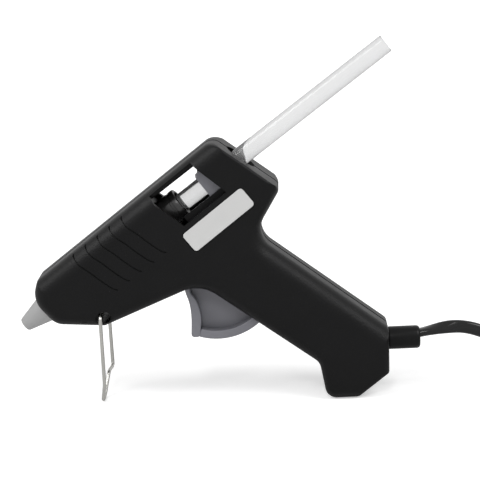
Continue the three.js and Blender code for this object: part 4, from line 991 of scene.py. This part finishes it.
nickel = plastic(
    "nickel-plated wire", (0.42, 0.415, 0.395), 0.24, grain=0.06, grain_size=0.8, mottle=0.12, metallic=1.0
)
stand_wire, stand_bend = 1.4, 1.75
stand_line = bent(stand_points, stand_bend, 12)
stand_rings = swept(stand_line, stadium(stand_wire, stand_wire, 20), [1, 0, 0])
stand = softened(skin(stand_rings, "bent_wire_stand"), 60)
settled(stand, "stand", "wire", nickel, "stand_wire")

# Cord boot
# A short moulded rubber boot in the heel's rear face, which takes the cord's pull.
profile = [
    (body_length - 4.7, 0.01),
    (body_length - 4.7, 4.6),
    (body_length - 2.3, 4.6),
    (body_length - 2.3, 3.3),
    (body_length + 0.3, 3.3),
    (body_length + 0.3, 4.25),
    (body_length + 0.5, 4.4),
    (boot_end - 1.3, 4.4),
    (boot_end - 0.7, 4.26),
    (boot_end - 0.25, 3.95),
    (boot_end, 3.4),
    (boot_end, 0.01),
]
black_rubber = plastic(
    "black rubber", (0.004, 0.004, 0.0042), 0.32, grain=0.15, grain_size=0.6, mottle=0.2, gloss=0.12
)
boot_place = Matrix.Translation((shift, 0, relief_z))
boot = softened(skin(turned(profile, 64, boot_place), "cord_boot"), 30)
settled(boot, "housing", "sleeve", black_rubber, "strain_relief")

# Floor and light
# A plain pale bench top under a white sky, with soft boxes on the left, on the right and in front.
# The floor glows towards white with distance, where the camera sees it.
floor_mesh = bpy.data.meshes.new("floor")
floor_mesh.from_pydata([(-3, -3, 0), (3, -3, 0), (3, 6, 0), (-3, 6, 0)], [], [(0, 1, 2, 3)])
floor = bpy.data.objects.new("floor", floor_mesh)
bpy.context.scene.collection.objects.link(floor)
floor_paint = plastic("pale bench", (0.88, 0.88, 0.88), 0.9, grain=0.0, mottle=0.005, gloss=0.1)
nodes, links = floor_paint.node_tree.nodes, floor_paint.node_tree.links
place = nodes.new("ShaderNodeTexCoord")
distance = nodes.new("ShaderNodeVectorMath")
distance.operation = "LENGTH"
links.new(place.outputs["Object"], distance.inputs[0])
glow = nodes.new("ShaderNodeMapRange")
glow.inputs["From Min"].default_value, glow.inputs["From Max"].default_value = 0.15, 1.2
glow.inputs["To Min"].default_value, glow.inputs["To Max"].default_value = 0.42, 1.0
links.new(distance.outputs["Value"], glow.inputs["Value"])
seen_by = nodes.new("ShaderNodeLightPath")
level = nodes.new("ShaderNodeMath")
level.operation = "MULTIPLY"
links.new(glow.outputs["Result"], level.inputs[0])
links.new(seen_by.outputs["Is Camera Ray"], level.inputs[1])
shader = nodes["Principled BSDF"]
shader.inputs["Emission Color"].default_value = (1, 1, 1, 1)
links.new(level.outputs[0], shader.inputs["Emission Strength"])
plain_white = nodes.new("ShaderNodeEmission")
plain_white.inputs["Color"].default_value = (1, 1, 1, 1)
through_glass = nodes.new("ShaderNodeMixShader")
links.new(seen_by.outputs["Is Transmission Ray"], through_glass.inputs["Fac"])
links.new(shader.outputs["BSDF"], through_glass.inputs[1])
links.new(plain_white.outputs["Emission"], through_glass.inputs[2])
links.new(through_glass.outputs[0], nodes["Material Output"].inputs["Surface"])
floor_mesh.materials.append(floor_paint)

world = bpy.data.worlds.new("studio")
bpy.context.scene.world = world
world.use_nodes = True
nodes, links = world.node_tree.nodes, world.node_tree.links
sky = nodes["Background"]
sky.inputs["Color"].default_value = (1, 1, 1, 1)
sky.inputs["Strength"].default_value = 0.42
seen = nodes.new("ShaderNodeBackground")
seen.inputs["Color"].default_value = (1, 1, 1, 1)
seen.inputs["Strength"].default_value = 1.0
path = nodes.new("ShaderNodeLightPath")
either = nodes.new("ShaderNodeMath")
either.operation = "MAXIMUM"
links.new(path.outputs["Is Camera Ray"], either.inputs[0])
links.new(path.outputs["Is Transmission Ray"], either.inputs[1])
shown = nodes.new("ShaderNodeMath")
shown.operation = "MAXIMUM"
links.new(either.outputs[0], shown.inputs[0])
links.new(path.outputs["Is Glossy Ray"], shown.inputs[1])
choose = nodes.new("ShaderNodeMixShader")
links.new(shown.outputs[0], choose.inputs["Fac"])
links.new(sky.outputs[0], choose.inputs[1])
links.new(seen.outputs[0], choose.inputs[2])
links.new(choose.outputs[0], nodes["World Output"].inputs["Surface"])


def lamp(name, place, size, power):
    """A square soft box, its size in metres and power in watts, that looks at the tool's middle."""
    data = bpy.data.lights.new(name, "AREA")
    data.shape, data.size, data.energy = "SQUARE", size, power
    light = bpy.data.objects.new(name, data)
    way = Vector((0, 0, 0.06)) - Vector(place)
    light.matrix_world = Matrix.Translation(place) @ way.to_track_quat("-Z", "Y").to_matrix().to_4x4()
    bpy.context.scene.collection.objects.link(light)


lamp("left_box", (-0.75, -0.36, 0.78), 0.55, 5.5)
lamp("right_box", (0.72, -0.38, 0.78), 0.55, 5.5)
lamp("front_box", (-0.1, -1.1, 0.95), 0.26, 3.2)

bpy.context.scene.view_settings.view_transform = "Standard"
